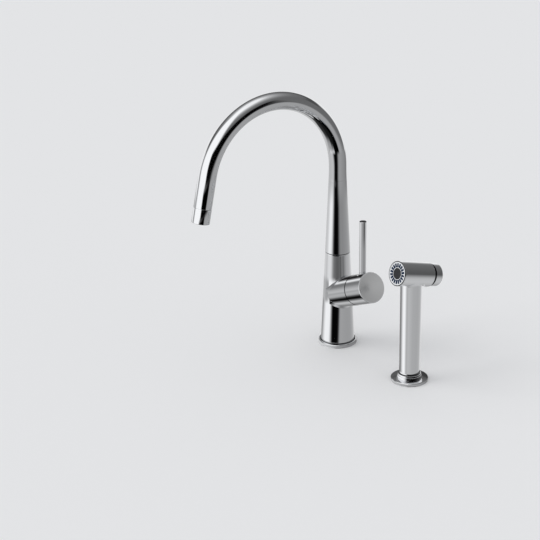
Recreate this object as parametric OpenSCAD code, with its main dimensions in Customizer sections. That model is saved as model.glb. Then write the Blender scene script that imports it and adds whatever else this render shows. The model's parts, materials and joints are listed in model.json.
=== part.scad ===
// Single-lever kitchen tap with a gooseneck spout, and its pull-out hand spray in a deck holder.
// Millimetres, +Z up. The origin is the centre of the tap's base on the worktop.
// +X runs to the lever and the hand spray. -Y runs over the bowl, under the spout.

/* [Spout] */
// Outer diameter of the spout tube
tube_d = 24; // [21:0.5:27]
// Wall of the spout tube
tube_wall = 2; // [1.2:0.1:2.6]
// Height at which the gooseneck starts to bend
column_h = 260.5; // [259:0.5:330]
// Radius of the gooseneck bend on the tube's centre line
bend_r = 105; // [80:1:130]
// Angle of the gooseneck bend
bend_angle = 168; // [150:1:180]
// Straight length from the bend to the aerator housing
drop_len = 41; // [20:1:80]
// Length of the aerator housing
nozzle_len = 20; // [17:0.5:30]

/* [Tap body] */
// Diameter that the cone of the body has at the worktop
foot_d = 48.2; // [46:0.2:54]
// Height at which the cone has narrowed to the tube
cone_h = 250; // [220:1:250]
// Height of the swivel seam between body and spout
seam_h = 136; // [130:1:150]
// Diameter of the base ring
base_ring_d = 54.6; // [54:0.2:70]
// Height of the base ring
base_ring_h = 5; // [4:0.5:8]
// Diameter of the spigot that the spout turns on
spigot_d = 23.8; // [23:0.2:25]
// Length of the spigot
spigot_len = 40; // [38:1:50]

/* [Lever] */
// Height at which the cartridge axis crosses the column axis
boss_h = 73.5; // [70:0.5:80]
// Upward tilt of the cartridge axis
boss_tilt = 22.8; // [18:0.1:27]
// Diameter of the cartridge housing and of the lever cap
cap_d = 42.6; // [42:0.1:46]
// Length of the cartridge housing from the column axis
housing_len = 49; // [48:0.5:56]
// Length of the lever cap
cap_len = 34.2; // [33:0.1:42]
// Gap between the housing and the lever cap
seam_gap = 0.8; // [0.8:0.1:1.2]
// Diameter of the lever rod
rod_d = 10; // [7:0.5:10]
// Distance of the lever rod from the column axis
rod_x = 57; // [56.5:0.5:60]
// Height of the top of the lever rod
rod_top = 195.5; // [150:0.5:240]
// Angle through which the lever opens the flow
lever_lift = 25; // [15:1:25]

/* [Cartridge] */
// Diameter of the cartridge casing
cartridge_d = 35; // [34.4:0.1:35.2]
// Depth of the cartridge bore in the housing
cartridge_depth = 35; // [35:0.5:36]
// Width of the square lever stem
stem_w = 8; // [6:0.5:8]
// Distance of the stem's ball from the pivot pin
ball_arm = 7.4; // [6.8:0.1:7.4]

/* [Hand spray] */
// Distance of the spray holder from the tap
spray_x = 160.5; // [130:0.5:240]
// Diameter of the holder's flange
flange_d = 50; // [46:1:64]
// Thickness of the holder's flange
flange_h = 4.6; // [3.6:0.2:7]
// Diameter of the handle at its foot
grip_foot_d = 27.8; // [27:0.2:29]
// Diameter of the handle under the barrel
grip_top_d = 28.4; // [27.4:0.2:30]
// Height of the barrel's centre above the worktop
barrel_h = 151; // [120:1:190]
// Diameter of the barrel
barrel_d = 32.8; // [32:0.2:36]
// Upward tilt of the spray face
barrel_tilt = 14.2; // [0:0.2:20]
// Length of the barrel in front of the handle's centre
barrel_front = 26; // [25:0.5:34]
// Length of the barrel behind the handle's centre
barrel_rear = 27; // [26:0.5:34]
// Travel of the push button
button_travel = 3; // [1.5:0.5:3]
// Length of the push button behind its groove
button_len = 11; // [8:0.5:16]
// Number of spray slots in the face
slot_count = 18; // [12:1:20]

/* [Deck fixing] */
// Thickness of the worktop that the fixings clamp
deck_t = 30; // [20:1:40]
// Length of the shanks below the worktop's surface
shank_len = 60; // [55:1:80]
// Diameter of the tap's shank
shank_d = 32.8; // [32:0.1:33.4]
// Diameter of the spray holder's shank
holder_shank_d = 31; // [30.4:0.2:32]
// Diameter of the three hose threads in the body
port_d = 10; // [8:0.5:10]
// Distance of the hose threads from the column axis
port_pitch_r = 8.5; // [8:0.1:8.8]

/* [Hidden] */
$fn = 96;

// Colours
chrome_c = [0.80, 0.81, 0.83];
steel_c = [0.66, 0.67, 0.69];
brass_c = [0.78, 0.66, 0.40];
rubber_c = [0.10, 0.10, 0.11];
plastic_c = [0.88, 0.88, 0.86];
dark_c = [0.17, 0.17, 0.18];
ceramic_c = [0.93, 0.92, 0.90];
blue_c = [0.02, 0.13, 0.32];

// Clearances
run_gap = 0.05;      // radial gap of a shaft or ring that turns or slides
fit_gap = 0.05;      // radial gap of a fixed piece in its seat
seal_gap = 0.15;     // gap between a rubber seal and what moves past it
free_gap = 0.3;      // gap between pieces that move past each other
cut = 0.5;           // overrun of a cutting shape
edge = 0.4;          // small chamfer on turned edges

// Radii and heights of the tap body
tube_r = tube_d / 2;
tube_bore_r = tube_r - tube_wall;
foot_r = foot_d / 2;
function cone_r(z) = tube_r + (foot_r - tube_r) * (cone_h - z) / cone_h;
ring_lip = 1;                                // the ring's lip stands this far over the body's seat
ring_groove = 0.7;                           // groove between the body's foot and the lip
body_z = base_ring_h - ring_lip;
shank_r = shank_d / 2;
shank_wall = 1.8;
socket_top = 30;                             // roof of the socket that takes the shank
shank_top = socket_top - 2;
port_r = port_d / 2;
port_len = 12;
port_angles = [60, -60, 180];                // cold, hot and hand spray
port_top = socket_top + port_len;
passage_r = 3;
riser_r = 4;
riser_z = boss_h - 6;

// Swivel between body and spout
spigot_r = spigot_d / 2;
spigot_top = seam_h + spigot_len;
washer_t = 0.8;
sleeve_z = seam_h + washer_t + run_gap;
glide_t = 0.4;
sleeve_bore_r = spigot_r + glide_t;
glide_w = 4;
glide_zs = [seam_h + 4, spigot_top - 8];
o_ring_wire_r = 0.85;
o_ring_groove_w = 2.4;
o_ring_rises = [17, 25];                     // heights of the O-rings above the seam
o_ring_zs = [for (rise = o_ring_rises) seam_h + rise];
clip_rise = 11;
clip_z = seam_h + clip_rise;
clip_t = 1.2;
clip_in = 0.7;                               // depth of the clip's groove in the spigot
clip_out = 1;                                // how far the clip reaches into the spout
clip_angle = 330;
bore_step = 2;
lap_len = 0.5;                               // the drop laps this far into the bend
lap_step = 0.1;                              // and its wall is this much thinner on each face

// Soft blend from the cone to the tube
taper = atan((foot_r - tube_r) / cone_h);
blend_len = 8;
blend_steps = 8;
blend_r = blend_len / tan(taper / 2);
blend_angles = [for (i = [0:blend_steps]) taper * (1 - i / blend_steps)];
blend_points = [for (a = blend_angles)
    [tube_r + blend_r * (1 - cos(a)), cone_h + blend_len - blend_r * sin(a)]];

// Diverter in the riser
diverter_r = 8.5;
diverter_sink = 16;                          // depth of its foot below the seam
diverter_z = seam_h - diverter_sink;
diverter_h = 42;
diverter_wall = 2.5;
diverter_floor = 3;
diverter_seat_r = 3.2;
spindle_r = 2;
spindle_disc_r = 5;
spindle_disc_t = 3;
spindle_travel = 2.5;
spindle_z = diverter_z + diverter_floor + run_gap;
guide_t = 3;
guide_sink = 12;                             // depth of the spindle's guide below its rim
guide_z = diverter_z + diverter_h - guide_sink;
window_r = 1.2;
spring_wire_r = 0.4;
spring_off = 1.1;                            // middle of the spring wire from the spindle
spring_turns = 7;
spring_step = 10;                            // rings of points on each turn of a spring

// Aerator
thread_len = 9;
thread_wall = 1.4;
nozzle_bore_r = tube_r - 1.4;
seat_ledge = 2;                              // width of the insert's seat in the housing
nozzle_shoulder = 11;                        // depth of the insert's seat from the tip
insert_recess = 0.6;
insert_t = 8.4;
aerator_washer_t = nozzle_shoulder - insert_recess - insert_t;
jet_r = 0.8;
jet_rim = 1.4;                               // width of the insert's outer rim
jet_groove = 0.8;
jet_groove_depth = 1;
jet_rows = [[0, 1], [3.2, 6], [6.2, 12]];    // radius of each row of jets, and its count

// Cartridge, along its own axis
cap_r = cap_d / 2;
boss_draft = 0.9;                            // the housing is drafted, so that it dies into the cone
boss_root_r = cap_r - boss_draft;
mouth_edge = 0.8;
cartridge_r = cartridge_d / 2;
floor_s = housing_len - cartridge_depth;
seal_stand = 0.9;
seal_pocket = 1;
seal_w = 1.6;
seal_rim = 0.1;
base_s = floor_s + seal_stand;
base_t = 3.1;
disc_s = base_s + base_t;
casing_wall = 2.9;
casing_bore_r = cartridge_r - casing_wall;
fixed_disc_t = 3.4;
moving_s = disc_s + fixed_disc_t + run_gap;
moving_disc_t = 3.45;
mixing_r = 6;                                // hollow under the moving disc
mixing_depth = 1.5;
driver_s = moving_s + moving_disc_t;
driver_t = 3.2;
tongue_h = 2.5;
tongue_w = 9;
tongue_len = 14;
pivot_rise = 22;                             // height of the pivot above the bore's floor
pivot_s = floor_s + pivot_rise;
driver_travel = ball_arm * lever_lift * PI / 180;
driver_r = casing_bore_r - driver_travel - 2 * free_gap;
carrier_s = driver_s + driver_t + free_gap;
carrier_rise = 6.6;                          // reach of the carrier above the pivot
carrier_top = pivot_s + carrier_rise;
lip_s = carrier_top + 2 * run_gap;
lip_t = 2.8;
lip_r = 12.4;
nut_grip = 1.7;                              // how far the nut reaches down round the casing
nut_s = lip_s - nut_grip;
nut_sink = 0.9;                              // depth of the nut's top below the housing's mouth
nut_top = housing_len - nut_sink;
nut_wall = 1.4;
nut_bore_r = cartridge_r + nut_wall;
nut_slot_w = 4;
nut_slot_depth = 2.5;
neck_step = 2.1;
neck_r = cartridge_r - neck_step;
pin_r = 2;
pin_len = 2 * casing_bore_r - 3;
ball_r = 3.4;
ball_s = pivot_s - ball_arm;
ball_gap = 0.45;
socket_r = ball_r + ball_gap;
stem_neck_r = 2.6;
bar_sink = 2.5;
bar_s = pivot_s - bar_sink;
cartridge_ports = [[3, 7], [3, -7], [-7, 0]];
locator_r = 1.5;
locator_len = 2;
locators = [[-3, 12.5], [-3, -12.5]];
carrier_ring_sink = 2.4;
carrier_ring_s = carrier_top - carrier_ring_sink;
carrier_wire_r = 0.65;

// Lever cap, hollowed by a sphere about the pivot so that it can tilt over the housing
mouth_s = housing_len - pivot_s;
mouth_sphere_r = norm([mouth_s - mouth_edge, cap_r]);
cap_sphere_r = mouth_sphere_r + free_gap;
cap_s = housing_len + seam_gap;
cap_end = cap_s + cap_len;
cap_edge = 1;
stem_grip = 18.2;                            // length of stem that the cap takes
stem_top = cap_s + stem_grip;
rod_r = rod_d / 2;
rod_edge = 0.5;
rod_stand = 3;                               // metal between the rod's foot and the stem
rod_z = boss_h + (rod_x + rod_r) * tan(boss_tilt) + stem_w / 2 / cos(boss_tilt) + rod_stand;
grub_r = 2.5;
grub_len = 10;
grub_inset = 3.5;
grub_s = stem_top - grub_inset;
grub_key = 1.45;
grub_key_depth = 3;
plug_depth = 0.3;                            // how deep the plug sits below the cap's surface
plug_t = 2.5;
cover_sphere_r = mouth_sphere_r - free_gap;
cover_t = 1.6;
cover_r = nut_bore_r - 0.1;
cover_rim = 3;
cover_hole_r = cover_r - cover_rim;

// Deck fixings
gasket_t = 2;
fixing_washer_t = 2;
nut_h = 8;
fixing_gap = 0.2;
gasket_z = -deck_t - gasket_t;
washer_z = gasket_z - fixing_washer_t;
nut_z = washer_z - nut_h;
tap_fixing_r = 27;
holder_fixing_r = 24;
hex_r = 26;                                  // corner radius of the tap's nut
holder_hex_r = 23.5;
hex_corner = 0.8;                            // what is turned off the corners of the nuts
base_seal_w = 3;
base_seal_t = 1.4;
ring_bore_r = shank_r + 0.5;

// Spray holder
flange_r = flange_d / 2;
flange_edge = 1;
holder_shank_r = holder_shank_d / 2;
holder_bore_r = holder_shank_r - 2.5;
cradle_r = holder_shank_r - 1.6;
collar_r = holder_shank_r + 0.9;
holder_seal_r = holder_shank_r + 0.3 + base_seal_w;
collar_step = 0.8;
holder_socket = 3;                           // depth to which the shank is screwed into the flange
collar_low = 3.6;
collar_high = 2.4;
collar_top = flange_h + collar_low + collar_high;
cradle_z = -12;
cradle_lip_t = 0.8;
cradle_lip_r = collar_r - collar_step - 1;
cradle_mouth_r = 12.3;
cradle_throat_r = 11.3;

// Hand spray
grip_z = collar_top + cradle_lip_t + 0.1;
grip_foot_r = grip_foot_d / 2;
grip_top_r = grip_top_d / 2;
grip_bore_r = 11;
barrel_y = 1;
barrel_r = barrel_d / 2;
barrel_bore_r = barrel_r - 2.3;
barrel_edge = 0.7;
face_r = barrel_r - 1.1;
face_pocket = 8;
face_recess = 0.4;
ferrule_gap = 0.2;
ferrule_top_r = cradle_mouth_r - ferrule_gap;
ferrule_end_r = cradle_throat_r - ferrule_gap;
ferrule_z = -8;
ferrule_in = 20;                             // length of the ferrule inside the handle
nipple_r = 6.5;
nipple_top = grip_z + 2;
water_r = 4.2;
coupling_r = 9.5;
coupling_end = -34;
coupling_flange = 3.5;
hose_thread_r = 7.5;
hose_thread_len = 14;
coupling_ring_z = 0;
coupling_wire_r = 0.65;
coupling_clip_z = 6;
coupling_clip_t = 1;
coupling_clip_w = 1.15;
coupling_clip_in = 0.55;                     // depth of the clip in the nipple
ring_groove_w = 1.8;                         // width of the seal grooves in the hand spray
check_h = 14;
rib_w = 2;
rib_end = 1;                                 // how far the ribs stop short of the valve's ends
check_z = grip_z + ferrule_in;
waterway_r = 7;
block_front = 13;
block_rear = 12;
block_thread_r = 5;
block_foot = barrel_h - barrel_bore_r - 2;
seat_t = 2;
guide_wall = 3;                              // wall of the block that guides the valve stem
chamber_in_r = 5;
chamber_out_r = 7;
seat_r = 3.6;
valve_stem_r = 2.2;
valve_washer_r = 5.2;
valve_washer_t = 2;
valve_gap = 0.1;
stem_step = 0.8;                             // the washer's groove in the valve stem, and its head
stem_head_t = 1;
button_groove = button_travel + 1;
button_r = barrel_r - 1.2;
button_shank = 11;
button_well = 6;
button_well_r = 8;
button_round = 1.6;
button_front = -barrel_rear - button_groove;
button_end = button_front - button_len;
valve_spring_r = 5.4;
valve_spring_wire_r = 0.6;
valve_spring_turns = 5;
button_ring_s = button_front + button_shank - 3;
button_wire_r = 0.7;
slot_in = 8.7;
slot_out = 13.2;
slot_w = 1.7;
blade_out = 0.3;                             // how far the soft blades stand out of the slots
nozzle_rim = 1.2;
centre_r = 7.3;
centre_step = 1;
centre_out = 0.2;                            // how far the centre stands out of the plate
plate_t = 3.2;
plate_back = barrel_front - face_recess - plate_t;
pocket_back = barrel_front - face_pocket;
face_gasket_t = 1.2;
face_gasket_w = 3;                           // how far the gasket reaches inside the barrel's bore

// A turned ring or tube
module ring(outer, inner, h) {
    rotate_extrude()
        translate([inner, 0])
            square([outer - inner, h]);
}

// A rubber ring of round section
module o_ring(centre_line_r, wire_r) {
    rotate_extrude()
        translate([centre_line_r, 0])
            circle(wire_r, $fn = 32);
}

// The space that a turned groove takes from a shaft
module groove_cut(outer, inner, width) {
    translate([0, 0, -width / 2])
        ring(outer, inner, width);
}

// A drilled passage from one point to another
module drill(from, to, r) {
    run = to - from;
    translate(from)
        rotate([0, acos(run[2] / norm(run)), atan2(run[1], run[0])])
            cylinder(r = r, h = norm(run));
}

// A helical compression spring, swept from rings of wire
module coil_spring(coil_r, wire_r, turns, height) {
    sides = 6;
    rings = turns * spring_step;
    climb = height - 2 * wire_r;
    points = [for (i = [0:rings]) let (a = 360 * turns * i / rings, z = wire_r + climb * i / rings)
        for (k = [0:sides - 1]) let (b = 360 * k / sides)
            [(coil_r + wire_r * cos(b)) * cos(a), (coil_r + wire_r * cos(b)) * sin(a), z + wire_r * sin(b)]];
    skin = [for (i = [0:rings - 1]) for (k = [0:sides - 1]) let (n = (k + 1) % sides)
        for (half = [0, 1]) half == 0
            ? [i * sides + k, (i + 1) * sides + k, i * sides + n]
            : [i * sides + n, (i + 1) * sides + k, (i + 1) * sides + n]];
    first = [for (k = [1:sides - 2]) [0, k, k + 1]];
    last = [for (k = [1:sides - 2]) [rings * sides, rings * sides + k + 1, rings * sides + k]];
    polyhedron(points, concat(first, skin, last));
}

// Places along the cartridge axis, with local +X pointing down
module at_cartridge() {
    translate([0, 0, boss_h])
        rotate([0, 90 - boss_tilt, 0])
            children();
}

// Places along the straight end of the spout, with local +Z pointing to the tip
module at_drop() {
    translate([0, -bend_r * (1 - cos(bend_angle)), column_h + bend_r * sin(bend_angle)])
        rotate([bend_angle, 0, 0])
            children();
}

// Places in the spray holder
module at_holder() {
    translate([spray_x, 0, 0])
        children();
}

// Places along the barrel of the hand spray, with local +Z pointing to the face
module at_barrel() {
    translate([spray_x, barrel_y, barrel_h])
        rotate([90 - barrel_tilt, 0, 0])
            children();
}

// Cartridge coordinates of a port, in the frame of the whole part
function cartridge_point(p) = [
    floor_s * cos(boss_tilt) + p[0] * sin(boss_tilt),
    p[1],
    boss_h + floor_s * sin(boss_tilt) - p[0] * cos(boss_tilt)
];

// Tap body: one casting with the cone, the spigot and the cartridge housing
module body() {
    outline = [
        [0, body_z],
        [cone_r(body_z) - edge, body_z],
        [cone_r(body_z + edge), body_z + edge],
        [cone_r(seam_h - edge), seam_h - edge],
        [cone_r(seam_h) - edge, seam_h],
        [spigot_r, seam_h],
        [spigot_r, spigot_top - 1],
        [spigot_r - 1, spigot_top],
        [0, spigot_top]
    ];
    color(chrome_c) difference() {
        union() {
            rotate_extrude()
                polygon(outline);
            at_cartridge()
                rotate_extrude()
                    polygon([
                        [0, 0],
                        [boss_root_r, 0],
                        [cap_r, housing_len - mouth_edge],
                        [cap_r - mouth_edge, housing_len],
                        [0, housing_len]
                    ]);
        }
        body_bores();
        for (z = o_ring_zs)
            translate([0, 0, z])
                groove_cut(spigot_r + cut, spigot_r - 2 * o_ring_wire_r, o_ring_groove_w);
        translate([0, 0, clip_z])
            groove_cut(spigot_r + cut, spigot_r - clip_in - fit_gap, clip_t + 2 * fit_gap);
    }
}

// Everything that is bored in the casting
module body_bores() {
    translate([0, 0, body_z - cut])
        cylinder(r = shank_r + fit_gap, h = socket_top - body_z + cut);
    for (a = port_angles)
        rotate([0, 0, a])
            translate([port_pitch_r, 0, socket_top - cut])
                cylinder(r = port_r, h = port_len + cut);
    for (i = [0, 1])
        drill(
            [port_pitch_r * cos(port_angles[i]), port_pitch_r * sin(port_angles[i]), port_top - cut],
            cartridge_point(cartridge_ports[i]),
            passage_r
        );
    translate([-port_pitch_r, 0, port_top - cut])
        cylinder(r = passage_r - cut, h = diverter_z - port_top + 2 * cut);
    translate([0, 0, riser_z])
        cylinder(r = riser_r, h = diverter_z - riser_z + cut);
    translate([0, 0, diverter_z])
        cylinder(r = diverter_r + fit_gap, h = spigot_top - diverter_z + cut);
    at_cartridge() {
        translate([cartridge_ports[2][0], cartridge_ports[2][1], 0])
            cylinder(r = passage_r, h = floor_s + cut);
        for (p = locators)
            translate([p[0], p[1], floor_s - locator_len - cut])
                cylinder(r = locator_r + fit_gap, h = locator_len + 2 * cut);
        translate([0, 0, floor_s])
            cylinder(r = cartridge_r + fit_gap, h = cartridge_depth + cut);
        translate([0, 0, nut_s])
            cylinder(r = nut_bore_r, h = cartridge_depth);
    }
}

// Base ring: carries the body and hides the deck hole
module base_ring() {
    r = base_ring_d / 2;
    lip_r = cone_r(body_z) + ring_groove;
    seal_r = ring_bore_r + base_seal_w;
    color(chrome_c)
        rotate_extrude()
            polygon([
                [seal_r, 0],
                [r, 0],
                [r, base_ring_h - 1],
                [r - 1, base_ring_h],
                [lip_r, base_ring_h],
                [lip_r, body_z],
                [ring_bore_r, body_z],
                [ring_bore_r, base_seal_t],
                [seal_r, base_seal_t]
            ]);
}

// Rubber ring that seals the base against the worktop
module base_seal() {
    color(rubber_c)
        ring(ring_bore_r + base_seal_w - fit_gap, ring_bore_r, base_seal_t - fit_gap);
}

// Shank: threaded tube that goes through the worktop
module mounting_shank() {
    color(brass_c)
        translate([0, 0, -shank_len])
            rotate_extrude()
                polygon([
                    [shank_r - shank_wall, 0],
                    [shank_r - edge, 0],
                    [shank_r, edge],
                    [shank_r, shank_len + shank_top - edge],
                    [shank_r - edge, shank_len + shank_top],
                    [shank_r - shank_wall, shank_len + shank_top]
                ]);
}

// Rubber gasket under the worktop
module deck_gasket() {
    color(rubber_c)
        translate([0, 0, gasket_z])
            ring(tap_fixing_r, shank_r + fixing_gap, gasket_t);
}

// Steel washer under the worktop
module clamp_washer() {
    color(steel_c)
        translate([0, 0, washer_z])
            ring(tap_fixing_r, shank_r + fixing_gap, fixing_washer_t);
}

// Hexagon nut with broken corners, used on both shanks
module hex_nut(corner_r, bore_r) {
    difference() {
        intersection() {
            cylinder(r = corner_r, h = nut_h, $fn = 6);
            cylinder(r = corner_r - hex_corner, h = nut_h);
        }
        translate([0, 0, -cut])
            cylinder(r = bore_r, h = nut_h + 2 * cut);
    }
}

// Nut that clamps the tap to the worktop
module clamp_nut() {
    color(brass_c)
        translate([0, 0, nut_z])
            hex_nut(hex_r, shank_r + fit_gap);
}

// Thin plastic washer in the swivel seam
module swivel_washer() {
    color(dark_c)
        translate([0, 0, seam_h])
            ring(cone_r(seam_h) - 2 * edge, spigot_r + fit_gap, washer_t);
}

// Two slide rings that the spout turns on
module spout_glide_rings() {
    color(plastic_c)
        for (z = glide_zs)
            translate([0, 0, z])
                ring(sleeve_bore_r - run_gap, spigot_r, glide_w);
}

// Two seals of the swivel
module spout_o_rings() {
    centre = sleeve_bore_r - seal_gap - o_ring_wire_r;
    color(rubber_c)
        for (z = o_ring_zs)
            translate([0, 0, z])
                o_ring(centre, o_ring_wire_r);
}

// Split spring ring that keeps the spout on its spigot
module spout_retaining_ring() {
    inner = spigot_r - clip_in;
    color(steel_c)
        translate([0, 0, clip_z - clip_t / 2])
            rotate([0, 0, 90 + (360 - clip_angle) / 2])
                rotate_extrude(angle = clip_angle)
                    translate([inner, 0])
                        square([clip_in + clip_out, clip_t]);
}

// Diverter: a fixed sleeve in the riser with a sprung spindle
module diverter_housing() {
    color(plastic_c)
        translate([0, 0, diverter_z])
            difference() {
                cylinder(r = diverter_r, h = diverter_h);
                translate([0, 0, -cut])
                    cylinder(r = diverter_seat_r, h = diverter_h);
                translate([0, 0, diverter_floor])
                    cylinder(r = diverter_r - diverter_wall, h = guide_z - diverter_z - diverter_floor);
                translate([0, 0, guide_z - diverter_z + guide_t])
                    cylinder(r = diverter_r - diverter_wall, h = diverter_h);
            }
    color(plastic_c)
        translate([0, 0, guide_z])
            difference() {
                cylinder(r = diverter_r - diverter_wall, h = guide_t);
                translate([0, 0, -cut])
                    cylinder(r = spindle_r + run_gap, h = guide_t + 2 * cut);
                for (a = [0:60:300])
                    rotate([0, 0, a])
                        translate([spindle_r + 2, 0, -cut])
                            cylinder(r = window_r, h = guide_t + 2 * cut);
            }
}

// Spindle that shuts the way to the spout while the hand spray runs
module diverter_spindle() {
    color(brass_c)
        translate([0, 0, spindle_z]) {
            cylinder(r = spindle_disc_r, h = spindle_disc_t);
            translate([0, 0, spindle_disc_t])
                cylinder(r = spindle_r, h = guide_z + guide_t - spindle_z);
        }
}

// Light spring of the diverter
module diverter_spring() {
    bottom = spindle_z + spindle_disc_t;
    height = guide_z - bottom - spindle_travel - free_gap;
    color(steel_c)
        translate([0, 0, bottom])
            coil_spring(spindle_r + spring_off, spring_wire_r, spring_turns, height);
}

// Spout: conical sleeve, column, gooseneck and drop in one piece
module spout() {
    bore_z = spigot_top + 1;
    outline = concat(
        [
            [sleeve_bore_r, sleeve_z],
            [cone_r(sleeve_z) - edge, sleeve_z],
            [cone_r(sleeve_z + edge), sleeve_z + edge]
        ],
        blend_points,
        [
            [tube_r, column_h],
            [tube_bore_r, column_h],
            [tube_bore_r, bore_z + bore_step],
            [sleeve_bore_r, bore_z],
            [sleeve_bore_r, clip_z + clip_t / 2 + free_gap],
            [sleeve_bore_r + clip_out, clip_z + clip_t / 2 + free_gap],
            [sleeve_bore_r + clip_out, clip_z - clip_t / 2 - free_gap],
            [sleeve_bore_r, clip_z - clip_t / 2 - free_gap]
        ]
    );
    color(chrome_c) {
        rotate_extrude()
            polygon(outline);
        translate([0, -bend_r, column_h])
            rotate([90, 0, 90])
                rotate_extrude(angle = bend_angle)
                    translate([bend_r, 0])
                        difference() {
                            circle(tube_r);
                            circle(tube_bore_r);
                        }
        at_drop()
            rotate_extrude()
                polygon([
                    [tube_bore_r + lap_step, -lap_len],
                    [tube_r - lap_step, -lap_len],
                    [tube_r - lap_step, drop_len - edge],
                    [tube_r - edge, drop_len],
                    [tube_r - thread_wall, drop_len],
                    [tube_r - thread_wall, drop_len - thread_len - 1],
                    [tube_bore_r + lap_step, drop_len - thread_len - 1]
                ]);
    }
}

// Aerator housing that screws into the spout's end
module aerator_housing() {
    end = drop_len + nozzle_len;
    inner = nozzle_bore_r - seat_ledge;
    color(chrome_c)
        at_drop()
            rotate_extrude()
                polygon([
                    [inner, drop_len - thread_len],
                    [tube_r - thread_wall - fit_gap, drop_len - thread_len],
                    [tube_r - thread_wall - fit_gap, drop_len],
                    [tube_r - edge, drop_len],
                    [tube_r, drop_len + edge],
                    [tube_r, end - 2 * edge],
                    [tube_r - 2 * edge, end],
                    [nozzle_bore_r, end],
                    [nozzle_bore_r, end - nozzle_shoulder],
                    [inner, end - nozzle_shoulder]
                ]);
}

// Aerator insert with its rows of jets
module aerator_insert() {
    groove_r = nozzle_bore_r - jet_rim;
    color(dark_c)
        at_drop()
            translate([0, 0, drop_len + nozzle_len - insert_recess - insert_t])
                difference() {
                    cylinder(r = nozzle_bore_r - fit_gap, h = insert_t);
                    for (row = jet_rows)
                        for (i = [1:row[1]])
                            rotate([0, 0, 360 * i / row[1]])
                                translate([row[0], 0, -cut])
                                    cylinder(r = jet_r, h = insert_t + 2 * cut);
                    translate([0, 0, insert_t - jet_groove_depth])
                        ring(groove_r, groove_r - jet_groove, jet_groove_depth + cut);
                }
}

// Washer over the aerator insert
module aerator_washer() {
    color(rubber_c)
        at_drop()
            translate([0, 0, drop_len + nozzle_len - nozzle_shoulder])
                ring(nozzle_bore_r - fit_gap, nozzle_bore_r - seat_ledge, aerator_washer_t);
}

// Holes of the three ports through a plate of the cartridge
module port_holes(s, t) {
    for (p = cartridge_ports)
        translate([p[0], p[1], s - cut])
            cylinder(r = passage_r, h = t + 2 * cut);
}

// Floor of the cartridge, with its locating pins
module cartridge_base() {
    color(plastic_c)
        at_cartridge()
            difference() {
                union() {
                    translate([0, 0, base_s])
                        cylinder(r = cartridge_r, h = base_t);
                    for (p = locators)
                        translate([p[0], p[1], floor_s - locator_len])
                            cylinder(r = locator_r, h = locator_len + seal_stand);
                }
                port_holes(base_s, base_t);
                for (p = cartridge_ports)
                    translate([p[0], p[1], base_s - cut])
                        cylinder(r = passage_r + seal_w + seal_rim, h = seal_pocket + cut);
            }
}

// Three seals under the cartridge
module cartridge_base_seals() {
    inner_r = passage_r + seal_rim;
    color(rubber_c)
        at_cartridge()
            for (p = cartridge_ports)
                translate([p[0], p[1], floor_s])
                    ring(inner_r + seal_w - fit_gap, inner_r, seal_stand + seal_pocket);
}

// Ceramic disc that stands still
module fixed_ceramic_disc() {
    color(ceramic_c)
        at_cartridge()
            difference() {
                translate([0, 0, disc_s])
                    cylinder(r = casing_bore_r - fit_gap, h = fixed_disc_t);
                port_holes(disc_s, fixed_disc_t);
            }
}

// Ceramic disc that slides and turns on the fixed one, with its mixing hollow
module moving_ceramic_disc() {
    color(ceramic_c)
        at_cartridge()
            translate([0, 0, moving_s])
                difference() {
                    cylinder(r = driver_r, h = moving_disc_t);
                    translate([0, 0, -cut])
                        cylinder(r = mixing_r, h = mixing_depth + cut);
                }
}

// Plastic driver on the moving disc, with the socket for the stem's ball
module disc_driver() {
    color(dark_c)
        at_cartridge()
            translate([0, 0, driver_s])
                difference() {
                    union() {
                        cylinder(r = driver_r, h = driver_t);
                        translate([-tongue_len / 2, -tongue_w / 2, 0])
                            cube([tongue_len, tongue_w, driver_t + tongue_h]);
                    }
                    translate([0, 0, -cut])
                        cylinder(r = socket_r, h = driver_t + tongue_h + 2 * cut);
                }
}

// Carrier: turns in the casing and holds the pivot pin
module cartridge_carrier() {
    height = carrier_top - carrier_s;
    slot_y = stem_w / 2 + 0.1;
    room_x = tongue_len / 2 + driver_travel + free_gap;
    groove_h = 2 * carrier_wire_r + free_gap;
    lean_up = (carrier_top - pivot_s) * tan(lever_lift) + stem_w / 2 / cos(lever_lift) + free_gap;
    lean_down = (pivot_s - carrier_s) * tan(lever_lift) + stem_neck_r + free_gap;
    color(plastic_c)
        at_cartridge()
            difference() {
                translate([0, 0, carrier_s])
                    cylinder(r = casing_bore_r - run_gap, h = height);
                translate([-lean_down, -slot_y, carrier_s - cut])
                    cube([lean_down + lean_up, 2 * slot_y, height + 2 * cut]);
                translate([-room_x, -tongue_w / 2 - run_gap, carrier_s - cut])
                    cube([
                        tongue_len + driver_travel + 2 * free_gap,
                        tongue_w + 2 * run_gap,
                        tongue_h + cut
                    ]);
                translate([0, 0, pivot_s])
                    rotate([90, 0, 0])
                        cylinder(r = pin_r, h = cartridge_d, center = true);
                translate([0, 0, carrier_ring_s])
                    groove_cut(cartridge_r, casing_bore_r - 2 * carrier_wire_r - seal_gap, groove_h);
            }
}

// Seal round the carrier
module carrier_o_ring() {
    color(rubber_c)
        at_cartridge()
            translate([0, 0, carrier_ring_s])
                o_ring(casing_bore_r - seal_gap - carrier_wire_r, carrier_wire_r);
}

// Steel pin that the stem tilts on
module pivot_pin() {
    color(steel_c)
        at_cartridge()
            translate([0, 0, pivot_s])
                rotate([90, 0, 0])
                    cylinder(r = pin_r, h = pin_len, center = true);
}

// Casing of the cartridge
module cartridge_casing() {
    color(plastic_c)
        at_cartridge()
            rotate_extrude()
                polygon([
                    [casing_bore_r, disc_s],
                    [cartridge_r, disc_s],
                    [cartridge_r, nut_s],
                    [neck_r, nut_s],
                    [neck_r, lip_s + lip_t],
                    [lip_r, lip_s + lip_t],
                    [lip_r, lip_s],
                    [casing_bore_r, lip_s]
                ]);
}

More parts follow.
